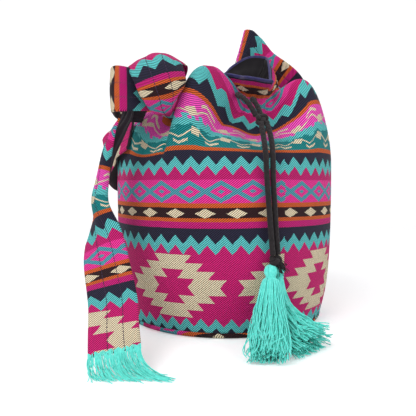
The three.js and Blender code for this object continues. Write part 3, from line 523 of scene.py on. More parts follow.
# %% Jacquard: the figured stripe
FIGURE, DRAWN_FROM, DRAWN_SPAN = 36, -20, 46
THIN_LINE = [(0, 16), (11, 17), (24, 9), (29, 11.5), (36, 16)]
HOOK_LINE = [(0, -20), (17.9, -20), (18, 7), (23, 3.2), (33, 6.5), (33.1, -20), (36, -20)]
BLOCK_WIDTH, BLOCK_HEIGHT, BORDER_FADE = 4.5, 3, 6.5
figure = add(tree, "Math:FLOORED_MODULO", across, FIGURE)
level = add(tree, "Math:SUBTRACT", row, FIGURES_FROM)
tilt = add(tree, "Math:MULTIPLY_ADD", figure, 0.25, add(tree, "Math:SUBTRACT", level, 1.5))
slant = add(tree, "Math:MULTIPLY_ADD", level, -0.35, figure)
drawn = add(tree, "Math:MULTIPLY", add(tree, "Math:COMPARE", tilt, 15.5, 4.2),
            add(tree, "Math:COMPARE", slant, 1.1, 5.5))
for points, half_width in ((THIN_LINE, 0.95), (HOOK_LINE, 1.5)):
    node = add(tree, "FloatCurve", 1, add(tree, "Math:DIVIDE", figure, FIGURE), out=None)
    curve = node.mapping.curves[0]
    while len(curve.points) < len(points):
        curve.points.new(0.5, 0.5)
    for point, (x, y) in zip(curve.points, points):
        point.location = (x / FIGURE, (y - DRAWN_FROM) / DRAWN_SPAN)
        point.handle_type = "VECTOR"
    node.mapping.update()
    line = add(tree, "Math:MULTIPLY_ADD", node.outputs[0], DRAWN_SPAN, DRAWN_FROM)
    drawn = add(tree, "Math:MAXIMUM", drawn, add(tree, "Math:COMPARE", level, line, half_width))
drawn = add(tree, "Math:MULTIPLY", drawn, figures)

block = add(tree, "CombineXYZ", add(tree, "Math:FLOOR", add(tree, "Math:DIVIDE", across, BLOCK_WIDTH)),
            add(tree, "Math:FLOOR", add(tree, "Math:DIVIDE", along, BLOCK_HEIGHT)))
chance = add(tree, "TexWhiteNoise", block, noise_dimensions="2D")
likely = add(tree, "Math:MULTIPLY_ADD", row, 1 / BORDER_FADE, 1.25 - REPEAT / BORDER_FADE)
colour = add(tree, "MixRGB", add(tree, "Math:LESS_THAN", chance, likely), colour, TURQUOISE)
colour = add(tree, "MixRGB", drawn, colour, CREAM)
print("figures", FIGURE, "mm wide")

# %% [markdown]
# Jacquard shows fine diagonal twill lines, drawn here 2.4 mm apart up the cloth so that they show in the
# picture. They follow a map of their own, the weave, which is not stretched where the pattern is. Uneven
# yarn and wide worn patches break up the plain colours, and a low bump makes the ridges catch the light.

# %% Jacquard: twill lines, yarn and wear
TWILL_PITCH, TWILL_SLOPE, TWILL_SHARE = 2.4, 0.82, 0.4
YARN_PATCH, WORN_PATCH = 1.111, 45.45
weave = add(tree, "SeparateXYZ", add(tree, "UVMap", uv_map="weave"), out=None).outputs
twill = add(tree, "Math:MULTIPLY_ADD", weave[0], -TWILL_SLOPE, weave[1])
twill = add(tree, "Math:DIVIDE", twill, TWILL_PITCH)
line = add(tree, "Math:LESS_THAN", add(tree, "Math:FRACT", twill), TWILL_SHARE)
flat_yarn = add(tree, "CombineXYZ", weave[0], add(tree, "Math:MULTIPLY", weave[1], 3))
yarn = add(tree, "TexNoise", flat_yarn, None, 1 / YARN_PATCH, 2)
worn = add(tree, "TexNoise", add(tree, "TexCoord", out="Object"), None, per_metre(WORN_PATCH), 3)
shade = add(tree, "Math:MULTIPLY_ADD", line, -0.98, add(tree, "Math:MULTIPLY_ADD", yarn, 0.18, 1.0))
shade = add(tree, "Math:MULTIPLY_ADD", worn, 0.1, add(tree, "Math:SUBTRACT", shade, 0.05))
colour = add(tree, "MixRGB", 1, colour, shade, blend_type="MULTIPLY")
tree.links.new(colour, shader.inputs["Base Color"])
ridge = add(tree, "Math:SINE", add(tree, "Math:MULTIPLY", twill, math.tau))
tree.links.new(add(tree, "Bump", 0.5, 0.0004, None, ridge), shader.inputs["Normal"])
print("material", jacquard.name, len(tree.nodes), "nodes")

# %% [markdown]
# The wall itself is a fine grid over the formulas above, finer in the gathered upper part. Three helpers
# shape it: the surface's own outward direction, a hump that is 1 at its middle and fades out over a width,
# and how many degrees each column lies away from a bearing.

# %% The wall's smooth shell
SEAM_ANGLE, COLUMNS = 29, 400
PLAIN_ROWS, GATHERED_ROWS, GATHERED_FROM = 60, 124, 4


def outward(points):
    around = np.roll(points, -1, 1) - np.roll(points, 1, 1)
    return unit(np.cross(around, np.gradient(points, axis=0)))


def hump(distance, width):
    return np.exp(-((distance / width) ** 2))


def away_from(bearing):
    return (degrees - bearing + 180) % 360 - 180


degrees = SEAM_ANGLE - 360 + np.arange(COLUMNS) * 360 / COLUMNS
rows = np.concatenate([np.linspace(0, GATHERED_FROM, PLAIN_ROWS, endpoint=False),
                       np.linspace(GATHERED_FROM, TOP_ROW, GATHERED_ROWS)])
outer = wall(degrees, rows)
print("wall grid", outer.shape[:2])

# %% [markdown]
# Round the neck the cloth is gathered into many small pleats, which fade out down the shoulder, and the
# belly is a little slack. Beside the left lobe the cloth is folded over itself: a crease is pushed in along
# a line up the shoulder, and the cloth at its right slides to the left over it. A bump swells the shoulder
# next to it. The inside face follows at the cloth's thickness, and base and rim are closed.

# %% Pleats and the fold beside the left lobe
NECK_PLEATS, NECK_PLEAT, SHOULDER_PLEATS, SHOULDER_PLEAT, SLACK = 29, 0.75, 17, 0.9, 0.9
CREASE_DEPTH, CREASE_LIP, OVERHANG, SWELL, SWELL_BEARING = 9, 2.5, 8, 12, -25
turn = np.radians(degrees)
neck_wave = np.cos(NECK_PLEATS * turn + 0.8 * np.sin(3 * turn)) * (0.7 + 0.3 * np.cos(5 * turn + 1))
shoulder_wave = np.cos(SHOULDER_PLEATS * turn + 1.1 * np.sin(2 * turn + 0.4))
shoulder_wave = shoulder_wave * (0.6 + 0.4 * np.sin(4 * turn))
pleats = NECK_PLEAT * hump(rows - NECK_ROW, 1.0)[:, None] * neck_wave
pleats = pleats + SHOULDER_PLEAT * hump(rows - 7, 1.3)[:, None] * shoulder_wave
slack_wave = np.cos(3 * turn + 0.7) + 0.6 * np.sin(7 * turn)
sag = SLACK * np.sin(np.pi * np.clip(rows / GATHERED_FROM, 0, 1))[:, None] * slack_wave

fold = away_from(np.interp(rows, [3.6, 5.2, 6.2], [-28, -22, -22])[:, None])
crease = CREASE_LIP * hump(fold - 7, 5) - CREASE_DEPTH * hump(fold + 2, 2.6)
crease = crease * np.interp(rows, [3.5, 4.2, 6.2, 7], [0, 1, 1, 0])[:, None]
slide = OVERHANG * hump(np.maximum(fold - 0.5, 0), 7) * np.clip((fold + 1.5) / 2, 0, 1)
slide = slide * np.interp(rows, [3.5, 4.1, 4.9, 5.8], [0, 1, 1, 0])[:, None]
swell = SWELL * hump(away_from(SWELL_BEARING), 7) * hump(rows - 5.6, 0.6)[:, None]
around = unit(np.roll(outer, -1, 1) - np.roll(outer, 1, 1))
outer = outer + outward(outer) * (pleats + sag + crease + swell)[..., None] - around * slide[..., None]
inner_rows = np.unique(np.concatenate([np.arange(0, len(rows), 6), [len(rows) - 1]]))[::-1]
inner = (outer - outward(outer) * WALL)[inner_rows]
print("deepest crease", round(-crease.min(), 1), "mm")

# %% [markdown]
# The pattern's place along the cloth is its length up from the base seam, so stripes bend with the folds.
# Above the belly it is led to set places at the neck and the rim. At the fold the stripes are drawn down, by
# 26 mm left of the crease. Round the narrow neck the pattern runs slower at the front, so that its figures
# keep their width there, and the back takes up the rest.

# %% The wall's pattern and cloth
PATTERN_LOW, PATTERN_NECK, PATTERN_RIM = 202, 322, 356
GATHER_ANGLE, DIP, DIP_BEARING, FOLD_DROP = 19, 10, -40, 26
DEGREE = math.tau * BELLY_RADIUS / 360
reach = reach_along(outer)
neck_line = np.argmin(np.abs(rows - NECK_ROW))
climbing = np.maximum.accumulate(outer[..., 2], 0)
low_reach = np.array([np.interp(PATTERN_LOW, climbing[:, c], reach[:, c]) for c in range(COLUMNS)])
run = np.maximum(reach[neck_line] - low_reach, 1)
share = np.clip((reach - low_reach) / run, 0, 1)
upper = PATTERN_NECK - PATTERN_LOW
climb = upper * (1 - (1 - share) ** np.maximum(run / upper, 1))
belly = np.interp(reach / low_reach, [0, 0.27, 0.51, 0.68, 1], [10.5, 62, 107, 140.5, PATTERN_LOW])
past_neck = np.clip((reach - reach[neck_line]) / (reach[-1] - reach[neck_line]), 0, 1)
dip = DIP * hump(away_from(DIP_BEARING), 9) * np.interp(belly + climb, [190, 208, 250, 270], [0, 1, 1, 0])
drop = np.interp(belly + climb, [203, 235, 285, 315], [0, FOLD_DROP, FOLD_DROP, 0])
drop = drop * np.clip((fold + 22) / 22, 0, 1)
dip = dip + drop / (1 + np.exp(np.clip(fold / 0.6, -50, 50)))
along = belly + climb + past_neck * (PATTERN_RIM - PATTERN_NECK) + dip

all_rows, along, length = (np.concatenate([v, v[inner_rows], v[:1]]) for v in (rows, along, reach))
along, length = (np.concatenate([v, v[:, :1]], 1) for v in (along, length))
loose = np.interp(all_rows, [4, 5, 6, 7], [0, 0.24, 0.55, 0.7])[:, None]
round_bag = np.append(degrees, SEAM_ANGLE)
across = DEGREE * (round_bag - loose * np.degrees(np.sin(np.radians(round_bag - GATHER_ANGLE))))
fabric = {"fabric": np.stack([across, along], -1),
          "weave": np.stack([DEGREE * round_bag + 0 * along, length], -1)}
bag = grid_piece("bag_cloth", np.concatenate([outer, inner]), [jacquard], fabric, wrap_rows=True)

# %% [markdown]
# The base is a round of the same cloth. Its edge is turned up into the seam, so a narrow strip of it shows
# under the wall at the front. A turned profile gives its shape. The pattern on it lies flat, with its stripes
# from left to right.

# %% The base
HUB, DISC_COLUMNS, BASE_THICKNESS = 0.8, 200, 2.4


def turned(profile):
    angle = np.linspace(0, math.tau, DISC_COLUMNS, endpoint=False) - math.pi / 2
    return np.array([[(r * math.cos(a), r * math.sin(a), z) for a in angle] for r, z in profile])


corner = [(121 + 6.4 * math.sin(a), 6.6 - 6.6 * math.cos(a)) for a in np.linspace(0, math.pi / 2, 10)]
under = [(HUB, 0), (40, 0), (80, 0), (110, 0)]
turned_in = [(126, 7.4), (124.6, 6.6), (121, 3.4)]
inside = [(117, BASE_THICKNESS), (60, BASE_THICKNESS), (HUB, BASE_THICKNESS)]
disc = turned([*under, *corner, *turned_in, *inside])
closed = np.concatenate([disc, disc[:, :1]], 1)
flat = closed[..., :2] + [20, 266]
flat[..., 1] += closed[..., 2]
base = grid_piece("base_cloth", disc, [jacquard], {"fabric": flat, "weave": flat}, caps=True)

# %% [markdown]
# The lining is plain black cotton, a looser tube inside the wall with its own flat bottom. It follows the
# wall's rows without their lobes, and stands away from the wall at the neck, where the cord has to pass.
# Black cotton takes nearly all light, so its weave shows only as a faint grain, 0.7 mm a thread, and a little
# bloom.

# %% Black cotton lining
LINING_GRAIN, LINING_GAP, LINING_CLOTH, LINING_COLUMNS = 0.7143, 0.7, 1.0, 200
CORD_ROOM, SLACK_ROOM = CORD + 2.5, 2.2
lining_cotton, tree, shader = cloth("black plain cotton", 0.95, 0.05)
grain = add(tree, "TexNoise", add(tree, "TexCoord", out="Object"), None, per_metre(LINING_GRAIN), 2)
tree.links.new(add(tree, "MixRGB", grain, paint("0a080b"), paint("181419")), shader.inputs["Base Color"])
tree.links.new(add(tree, "Bump", 0.4, 0.0003, None, grain), shader.inputs["Normal"])

lining_rows = np.concatenate([np.linspace(0, 6, 26, endpoint=False), np.linspace(6, 9.8, 54)])
loose = hump(lining_rows - NECK_ROW, 0.55) * CORD_ROOM
loose = loose + np.interp(lining_rows, [4, 5, 8.6, 9.5], [0, SLACK_ROOM, SLACK_ROOM, 0])
lining_degrees = np.linspace(0, 360, LINING_COLUMNS, endpoint=False)
tube = wall(lining_degrees, lining_rows, slack=True)
lining_turn = np.radians(lining_degrees)
crumple = 0.5 * np.cos(19 * lining_turn + 2 * np.sin(3 * lining_turn))
crumple = crumple * np.interp(lining_rows, [5, 6, 9, 9.6], [0, 1, 1, 0])[:, None]
face = tube - outward(tube) * (WALL + LINING_GAP + loose[:, None] + crumple)[..., None]
back = (face - outward(face) * LINING_CLOTH)[::-1]
lining = grid_piece("lining_cloth", np.concatenate([face, back]), [lining_cotton], wrap_rows=True)

bottom = turned([(HUB, 2.75), (60, 2.75), (115.5, 2.9), (117.2, 3.3), (115.5, 3.75), (60, 3.9), (HUB, 3.75)])
lining_bottom = grid_piece("lining_bottom_cloth", bottom, [lining_cotton], caps=True)

# %% [markdown]
# The rim of the mouth is bound with a navy cotton tape folded over the edge. Seen from outside it reads as
# two soft ridges with a stitched groove between them, so its section is a long rounded bar with a waist.
# The tape's ribs, 1.2 mm apart, run across it.

# %% Navy binding round the mouth
RIB_PITCH, TAPE_PATCH = 1.2, 3.846
TAPE_HALF, TAPE_THICK, TAPE_WAIST, TAPE_SIDES = 2.1, 1.45, 0.35, 20
navy_tape, tree, shader = cloth("navy cotton tape", 0.85, 0.2)
spot = add(tree, "SeparateXYZ", add(tree, "UVMap", uv_map="fabric"), out=None).outputs
rib = add(tree, "Math:SINE", add(tree, "Math:MULTIPLY", spot[0], math.tau / RIB_PITCH))
tone = add(tree, "TexNoise", add(tree, "TexCoord", out="Object"), None, per_metre(TAPE_PATCH), 2)
tree.links.new(add(tree, "MixRGB", tone, paint("221f46"), paint("3d3a70")), shader.inputs["Base Color"])
tree.links.new(add(tree, "Bump", 0.4, 0.0003, None, rib), shader.inputs["Normal"])

rim, below = outer[-1], outer[-4]
out = unit(rim - below)
normal = outward(outer)[-1]
angle = np.linspace(0, math.tau, TAPE_SIDES, endpoint=False)
long = TAPE_HALF * np.cos(angle)
thick = (TAPE_THICK - TAPE_WAIST * hump(long, 0.7)) * np.sin(angle)
centre = rim - normal * WALL / 2 + out * 0.4
tape = centre[:, None] + out[:, None] * long[:, None] + normal[:, None] * thick[:, None]
length = reach_along(np.vstack([rim, rim[:1]]))
fabric = np.stack(np.meshgrid(length, np.linspace(0, 16, TAPE_SIDES + 1), indexing="ij"), -1)
binding = grid_piece("mouth_binding_tape", tape[:, ::-1], [navy_tape], {"fabric": fabric}, wrap_rows=True)

# %% [markdown]
# The strap is backed with dark plain cotton, which shows where a band turns its reverse to the viewer. At the
# wrap's far end it also serves as painted shade, filling the shadowed gap under the knot. Plain weave goes
# over and under by turns both ways, which two crossed waves give. The waves repeat every 1.6 mm, coarse
# enough to show.

# %% Dark cotton backing of the strap
PLAIN_WEAVE = 1.6
backing, tree, shader = cloth("dark cotton backing", 0.9, 0.2)
spot = add(tree, "SeparateXYZ", add(tree, "UVMap", uv_map="fabric"), out=None).outputs
weft = add(tree, "Math:SINE", add(tree, "Math:MULTIPLY", spot[1], math.tau / PLAIN_WEAVE))
warp = add(tree, "Math:SINE", add(tree, "Math:MULTIPLY", spot[0], math.tau / PLAIN_WEAVE))
checks = add(tree, "Math:MULTIPLY", weft, warp)
tone = add(tree, "Math:MULTIPLY_ADD", checks, 0.3, 0.5)
tree.links.new(add(tree, "MixRGB", tone, paint("191519"), paint("372c36")), shader.inputs["Base Color"])
tree.links.new(add(tree, "Bump", 0.4, 0.0003, None, checks), shader.inputs["Normal"])
print("material", backing.name)

# %% [markdown]
# The strap is a band of jacquard, 48 mm wide and 3 mm thick. Each run of it is given by stations: a centre
# point, the direction of its width, how far its leading edge is rolled over, and its share of the full
# width, which is less where the band is gathered in. A station stands off the belly, and a seat lies on the
# wall. The section has soft edges and two stitched grooves, and in the knot it is puffed up. The reverse
# side gets the second material.

# %% Bands of strap
STRAP_WIDTH, STRAP_THICKNESS, STRAP_EDGE = 48, 3, 1.6
STITCH_ROWS = (-0.11, 0.19)
BAND_STEPS, BAND_STRIPS = 14, 32
ROLL_START, ROLL_TURN, STRAP_WEAVE = 0.45, 200, 1.05
RIPPLE, GATHERED_RIPPLE, GROOVE_DEPTH, GROOVE_WIDTH = 0.35, 1.2, 0.5, 0.9


def station(degrees, stand_off, height, wide, roll=0, span=1):
    turn, radius = math.radians(degrees), BELLY_RADIUS + stand_off
    centre = np.array([radius * math.sin(turn), -radius * math.cos(turn), height])
    return centre, unit(np.array(wide, float)), roll, span


def seat(degrees, row, way, lift, span=1):
    spot, around, up, out = wall_frame(degrees, row)
    return spot + out * lift, {"round": around, "up": up, "down": -up}[way], 0, span


def band(name, stations, mark, across_start, flow=1, puff=0, curl=0, reverse=None):
    centre = smooth([s[0] for s in stations], BAND_STEPS)
    wide = smooth([s[1] for s in stations], BAND_STEPS)
    along = unit(np.gradient(centre, axis=0))
    wide = unit(wide - along * np.sum(wide * along, 1, keepdims=True))
    face = np.cross(along, wide)
    weights = spline_weights(np.arange(len(centre)) / BAND_STEPS, len(stations))
    roll, span = ((weights @ np.array([s[k] for s in stations], float))[:, None] for k in (2, 3))
    reach = reach_along(centre)[:, None]
    share = np.linspace(0, 1, BAND_STRIPS + 1)
    turn = roll * math.radians(ROLL_TURN) * np.clip((share - ROLL_START) / (1 - ROLL_START), 0, 1)
    width = STRAP_WIDTH * span
    half = (turn[:, 1:] + turn[:, :-1]) / 2
    flat = np.concatenate([0 * width, np.cumsum(np.cos(half) * width / BAND_STRIPS, 1)], 1) - width / 2
    rise = np.concatenate([0 * width, np.cumsum(-np.sin(half) * width / BAND_STRIPS, 1)], 1)
    rise = rise + puff * (1 - (2 * share - 1) ** 2) * (1 - roll)
    rise = rise - curl * span * np.maximum(2 * share - 1, 0) ** 2
    rise = rise + RIPPLE * np.sin(reach / 9 + 3 * share) + (1 - span) * GATHERED_RIPPLE * np.sin(share * 22)
    from_middle = np.abs(share - 0.5) * STRAP_WIDTH
    edge = np.clip(from_middle - (STRAP_WIDTH / 2 - STRAP_EDGE), 0, STRAP_EDGE) / STRAP_EDGE
    body = STRAP_THICKNESS / 2 * np.sqrt(np.maximum(1 - edge**2, 0.03))
    groove_places = [(share - 0.5 - row) * STRAP_WIDTH for row in STITCH_ROWS]
    groove = sum(GROOVE_DEPTH * hump(place, GROOVE_WIDTH) for place in groove_places)
    sides = []
    for depth in (body - groove, -body):
        x, y = flat + depth * np.sin(turn), rise + depth * np.cos(turn)
        sides.append(centre[:, None] + wide[:, None] * x[..., None] + face[:, None] * y[..., None])
    ring = np.concatenate([sides[0], sides[1][:, ::-1]], 1)
    places = across_start + STRAP_WIDTH * np.concatenate([share, share[::-1], share[:1]])
    start = mark[1] - flow * reach[mark[0] * BAND_STEPS]
    woven = np.stack(np.broadcast_arrays(places, start + flow * reach), -1)[:, ::-1]
    behind = np.broadcast_to(np.arange(ring.shape[1]) > BAND_STRIPS, ring.shape[:2])[:, ::-1]
    fabric = {"fabric": woven, "weave": STRAP_WEAVE * woven}
    materials = [jacquard, reverse or backing]
    made = grid_piece(name, ring[:, ::-1], materials, fabric, caps=True, reverse=behind)
    stitch_lines = [sides[0][:, int(round((0.5 + row) * BAND_STRIPS))] for row in STITCH_ROWS]
    return made, stitch_lines, reach[-1, 0], sides


# %% [markdown]
# The shoulder strap starts at the back right of the shoulder, stands up in a peak behind the mouth, drops
# down the back, goes round the left side and is sewn in again under the knot. Heights are counted from a
# level near the top of the knot, or from the shoulder.

# %% The shoulder strap
STRAP_LEVEL, KNOT_DROP, GAP = 312, 41.5, 0.35
FOLD = (-0.28, 0, -0.96)
LIFT = STRAP_THICKNESS / 2 + GAP
top, low = STRAP_LEVEL, SHOULDER_HEIGHT
strap_run = [
    seat(118, 3.9, "round", LIFT), seat(118, 4.3, "round", LIFT + 1), seat(118, 4.7, "round", LIFT + 4),
    station(122, -30, top - 1, (-0.7, 0.5, -0.35)), station(134, -63, top + 27, (-0.55, 0.1, -0.83)),
    station(136, -81, top + 43.5, (-0.36, 0, -0.93)), station(137, -93.5, top + 49, FOLD),
    station(149, -93.5, top + 51, FOLD), station(148, -85, top + 49, FOLD),
    station(150.5, -66.5, top + 42, (-0.35, 0, -0.95)), station(150, -44, top + 18, (-0.8, 0.1, -0.6)),
    station(152, -26, top - 12, (-1, 0.1, -0.1)), station(158, -6, low + 102, (-1, 0, 0)),
    station(167, 11, low + 56, (-1, 0, 0.1)), station(178, 13, low + 22, (-0.75, 0, 0.7)),
    station(199, 12, low + 6, (-0.1, 0, 1)), station(227, 11, low + 6, (0, 0, 1)),
    station(259, 11, low + 14, (0, 0, 1)), station(283, 13, low + 33, (-0.1, 0, 1)),
    seat(-65, 4, "up", LIFT + 5), seat(-54, 4.2, "up", LIFT + 1.2, 0.8),
]
strap, strap_rows, strap_length, _ = band("shoulder_strap_cloth", strap_run, (7, 260), -24, flow=-1)
print("shoulder strap", round(strap_length), "mm long")

# %% [markdown]
# The knot has two bands that show: a crown that is puffed up and folded over, and a wrap that comes out from
# inside it, crosses the front and goes round the left side. The tail hangs out from under the wrap. Its left
# edge is rolled over, then the band opens, turns to the front and comes down close to the floor. The crown is
# given jacquard on both sides, the others the dark backing on their reverse. The wrap's far end is held low
# and wide so that its dark reverse fills the gap between wrap and shoulder, as painted shade under the knot.

# %% The knot and the tail
SLOPE, ACROSS, TUCKED = (0.94, 0, 0.34), (0, 0, -1), 2.85
middle = STRAP_LEVEL - KNOT_DROP
crown_run = [
    seat(-42, 5.8, "round", TUCKED, 0.15), station(-38, -38, top - 34, SLOPE, 0, 0.45),
    station(-37.4, -24.5, top - 13, SLOPE, 0, 1.3), station(-33.4, -2, top - 4.5, SLOPE, 0, 1.3),
    station(-27.2, 20, top - 13, SLOPE, 0, 1.14), station(-24, 22, top - 32, SLOPE, 0, 1.1),
    station(-23.2, 17, top - 47.5, SLOPE, 0, 1.04), station(-25.5, 5, top - 57, SLOPE, 0, 0.72),
    seat(-38, 5.3, "round", TUCKED, 0.3),
]
wrap_run = [
    station(-32.5, 0, middle, ACROSS, 0, 0.75), station(-33.2, 6, middle, ACROSS, 0, 0.8),
    station(-34.6, 31, middle, ACROSS, 0, 0.95), station(-36.6, 43, middle, ACROSS),
    station(-39.2, 44, middle, ACROSS), station(-42.6, 35, middle - 1, ACROSS),
    # The wrap's last two stations hold its end low and wide: its dark reverse is painted shade under the
    # knot.
    station(-46, 24, middle - 4, ACROSS), station(-50.5, 8, middle - 9, ACROSS, 0, 0.8),
    seat(-54, 4.9, "down", LIFT + 1.5, 0.4),
]
tail_run = [
    station(-36.8, 33.6, top - 48, (-0.894, -0.447, 0), 0, 0.28),
    station(-38.2, 29, top - 63, (-0.6, -0.75, 0.25), 0.3, 0.4),
    station(-43.6, 31, top - 81, (-0.75, -0.6, 0.25), 0.7, 0.55),
    station(-47.3, 38, top - 105, (-0.6, -0.75, 0.25), 1, 0.65),
    station(-48.3, 46, top - 137, (-0.35, -0.93, 0.1), 1, 0.85),
    station(-47.6, 53, top - 162, (0, -1, 0), 0.7),
    station(-43, 52, top - 198, (0.85, -0.5, 0), 0.2), station(-36, 62, top - 230, (1, -0.1, 0)),
    station(-29.6, 78, top - 256, (1, 0, 0)), station(-25.6, 96, top - 277, (1, 0, 0.05)),
    station(-22.6, 112, top - 291, (1, 0, 0.1)),
]
crown, crown_rows, crown_length, _ = band("knot_crown_cloth", crown_run, (5, 128), -24, flow=1.22,
                                          puff=4, curl=14, reverse=jacquard)
wrap, wrap_rows, wrap_length, _ = band("knot_wrap_cloth", wrap_run, (4, 141), -29, puff=1)
tail, tail_rows, tail_length, tail_sides = band("tail_strap_cloth", tail_run, (10, 49), -58.4, flow=-1)
print("crown, wrap and tail:", round(crown_length), round(wrap_length), round(tail_length), "mm long")

# %% [markdown]
# What repeats along a path is made with Geometry Nodes. The first tree turns lines of points into round
# threads: each line becomes a curve, and a six-sided circle is drawn along it. There are hundreds of threads,
# so each has only a few faces.

# %% Geometry Nodes for threads
THREAD_SIDES = 6


def node_tree(name, sizes):
    tree = bpy.data.node_groups.new(name, "GeometryNodeTree")
    tree.interface.new_socket("Geometry", in_out="INPUT", socket_type="NodeSocketGeometry")
    for title in sizes:
        tree.interface.new_socket(title, in_out="INPUT", socket_type="NodeSocketFloat")
    tree.interface.new_socket("Material", in_out="INPUT", socket_type="NodeSocketMaterial")
    tree.interface.new_socket("Geometry", in_out="OUTPUT", socket_type="NodeSocketGeometry")
    return tree, tree.nodes.new("NodeGroupInput").outputs


def end_tree(tree, made, material):
    made = add(tree, "GeometryNodeRealizeInstances", made)
    made = add(tree, "GeometryNodeSetMaterial", made, None, material)
    add(tree, "NodeGroupOutput", made, out=None)


threads_tree, given = node_tree("threads along lines", ["Thread Radius"])
lines = add(threads_tree, "GeometryNodeMeshToCurve", given[0])
section = add(threads_tree, "GeometryNodeCurvePrimitiveCircle", THREAD_SIDES, None, None, None, given[1])
solid = add(threads_tree, "GeometryNodeCurveToMesh", lines, section, None, True)
end_tree(threads_tree, add(threads_tree, "GeometryNodeSetShadeSmooth", solid), given[2])
print("tree", threads_tree.name)

# %% [markdown]
# The second tree sets stitches along a line: it cuts the line into equal steps and puts a small long bead of
# thread at each, turned along the line.

# %% Geometry Nodes for stitches
BEAD_SEGMENTS, BEAD_RINGS = 8, 6
stitch_tree, given = node_tree("stitches along lines", ["Pitch", "Length", "Thickness"])
lines = add(stitch_tree, "GeometryNodeMeshToCurve", given[0])
lines = add(stitch_tree, "GeometryNodeResampleCurve", lines, None, None, given[1], mode="LENGTH")
tangent = add(stitch_tree, "GeometryNodeInputTangent")
facing = add(stitch_tree, "FunctionNodeAlignRotationToVector", None, None, tangent, axis="X")
size = add(stitch_tree, "CombineXYZ", given[2], given[3], given[3])
bead = add(stitch_tree, "GeometryNodeMeshUVSphere", BEAD_SEGMENTS, BEAD_RINGS, 0.5)
beads = add(stitch_tree, "GeometryNodeInstanceOnPoints", lines, None, bead, None, None, facing, size)
end_tree(stitch_tree, beads, given[4])
print("tree", stitch_tree.name)

# %% [markdown]
# A tree works as a modifier on a mesh of bare lines. Its sizes are set by the sockets' identifiers, and the
# result is kept as a plain mesh, which is what other programs can read.

# %% From lines to plain meshes
def along_lines(name, lines, tree, material, **sizes):
    starts = np.cumsum([0] + [len(line) for line in lines])
    edges = [(i, i + 1) for a, b in zip(starts, starts[1:]) for i in range(a, b - 1)]
    mesh = bpy.data.meshes.new(name + "_lines")
    mesh.from_pydata((np.concatenate(lines) * MM).tolist(), edges, [])
    made = bpy.data.objects.new(name, mesh)
    bpy.context.collection.objects.link(made)
    modifier = made.modifiers.new("make", "NODES")
    modifier.node_group = tree
    for socket in tree.interface.items_tree:
        title = socket.name.lower().replace(" ", "_")
        if title in sizes:
            modifier[socket.identifier] = sizes[title] * MM
        elif title == "material":
            modifier[socket.identifier] = material
    finished = bpy.data.meshes.new_from_object(made.evaluated_get(bpy.context.evaluated_depsgraph_get()))
    made.modifiers.remove(modifier)
    made.data = finished
    finished.name = name
    print(name, len(lines), "lines,", len(finished.polygons), "faces")
    return made


# %% [markdown]
# Two rows of dark thread quilt the strap to its backing along its whole length. The stitches lie in the
# grooves of the band, one every 4 mm and each 3.8 mm long, so that a row reads as a nearly unbroken line.

# %% Stitching on the strap
STITCH_PATCH = 1.111
stitch_thread, tree, shader = cloth("dark sewing thread", 0.7, 0.1)
tone = add(tree, "TexNoise", add(tree, "TexCoord", out="Object"), None, per_metre(STITCH_PATCH), 2)
tree.links.new(add(tree, "MixRGB", tone, paint("20142a"), paint("3a2444")), shader.inputs["Base Color"])
stitched = strap_rows + crown_rows + wrap_rows + tail_rows
stitches = along_lines("strap_stitches", stitched, stitch_tree, stitch_thread,
                       pitch=4, length=3.8, thickness=0.9)

# %% [markdown]
# Tassels and fringe are mint viscose thread. Viscose is smooth and a little glossy, so its strands show
# bright lines. The colour runs between a deep and a pale mint in patches of 2 to 3 mm.

# %% Mint thread
MINT_PATCH = 2.381
mint_thread, tree, shader = cloth("mint viscose thread", 0.5, 0.3)
tone = add(tree, "TexNoise", add(tree, "TexCoord", out="Object"), None, per_metre(MINT_PATCH), 2)
tree.links.new(add(tree, "MixRGB", tone, paint("2acdc0"), paint("84f6ea")), shader.inputs["Base Color"])
print("material", mint_thread.name)

# %% [markdown]
# The fringe is a row of loose threads sewn into the tail's end. They start a few millimetres up the band,
# deeper in some places than in others, so their upper edge is a row of teeth. From the band's end each one
# falls in a quarter turn to the floor and sways a little to the right.

# %% The fringe of the tail
FRINGE_THREADS, FRINGE_POINTS, FRINGE_TEETH, ON_FLOOR = 150, 12, 7, 0.6
FRINGE_FORWARD, FRINGE_FAN, TOOTH_DEPTH = 12, 24, 5
dice = np.random.default_rng(7)
end, before = tail_sides[0][-1], tail_sides[0][-4]
fall = unit(np.mean(end - before, 0))
to_front = unit(np.mean(end - tail_sides[1][-1], 0))
share = np.linspace(0, 1, FRINGE_POINTS)
turn = share * math.pi / 2
fringe_lines = []
for place in np.sort(dice.random(FRINGE_THREADS)):
    strip = int(place * BAND_STRIPS)
    next_strip = min(strip + 1, BAND_STRIPS)
    root = mix(end[strip], end[next_strip], place * BAND_STRIPS % 1)
    root = root + to_front * dice.uniform(-0.6, 0.5) + fall * 0.6
    tooth = abs(place * FRINGE_TEETH % 1 - 0.5)
    stitched_at = root + to_front * 0.4 - fall * (1.2 + TOOTH_DEPTH * tooth)
    reach = dice.uniform(0.85, 1.12)
    line = root + np.zeros((FRINGE_POINTS, 3))
    sway = dice.normal(8, 3.4) + FRINGE_FAN * place * reach
    line[:, 0] += sway * share**2 + dice.normal(0, 0.9) * np.sin(share * 7)
    line[:, 1] -= FRINGE_FORWARD * reach * (1 - np.cos(turn)) + dice.normal(0, 3) * share
    line[:, 2] = np.maximum(mix(root[2], ON_FLOOR + dice.random() * 1.6, np.sin(turn)), ON_FLOOR)
    fringe_lines.append(np.vstack([stitched_at, line]))
fringe = along_lines("tail_fringe_threads", fringe_lines, threads_tree, mint_thread, thread_radius=0.4)

# %% [markdown]
# A tassel is a bundle of threads bent over a knot and tied round its neck. Each thread here runs over the
# round head, through the tie and out into a skirt that lies down on the floor. Its place in the bundle, its
# length and its waves are random, from a fixed seed, so the skirt looks loose and stays the same each time.

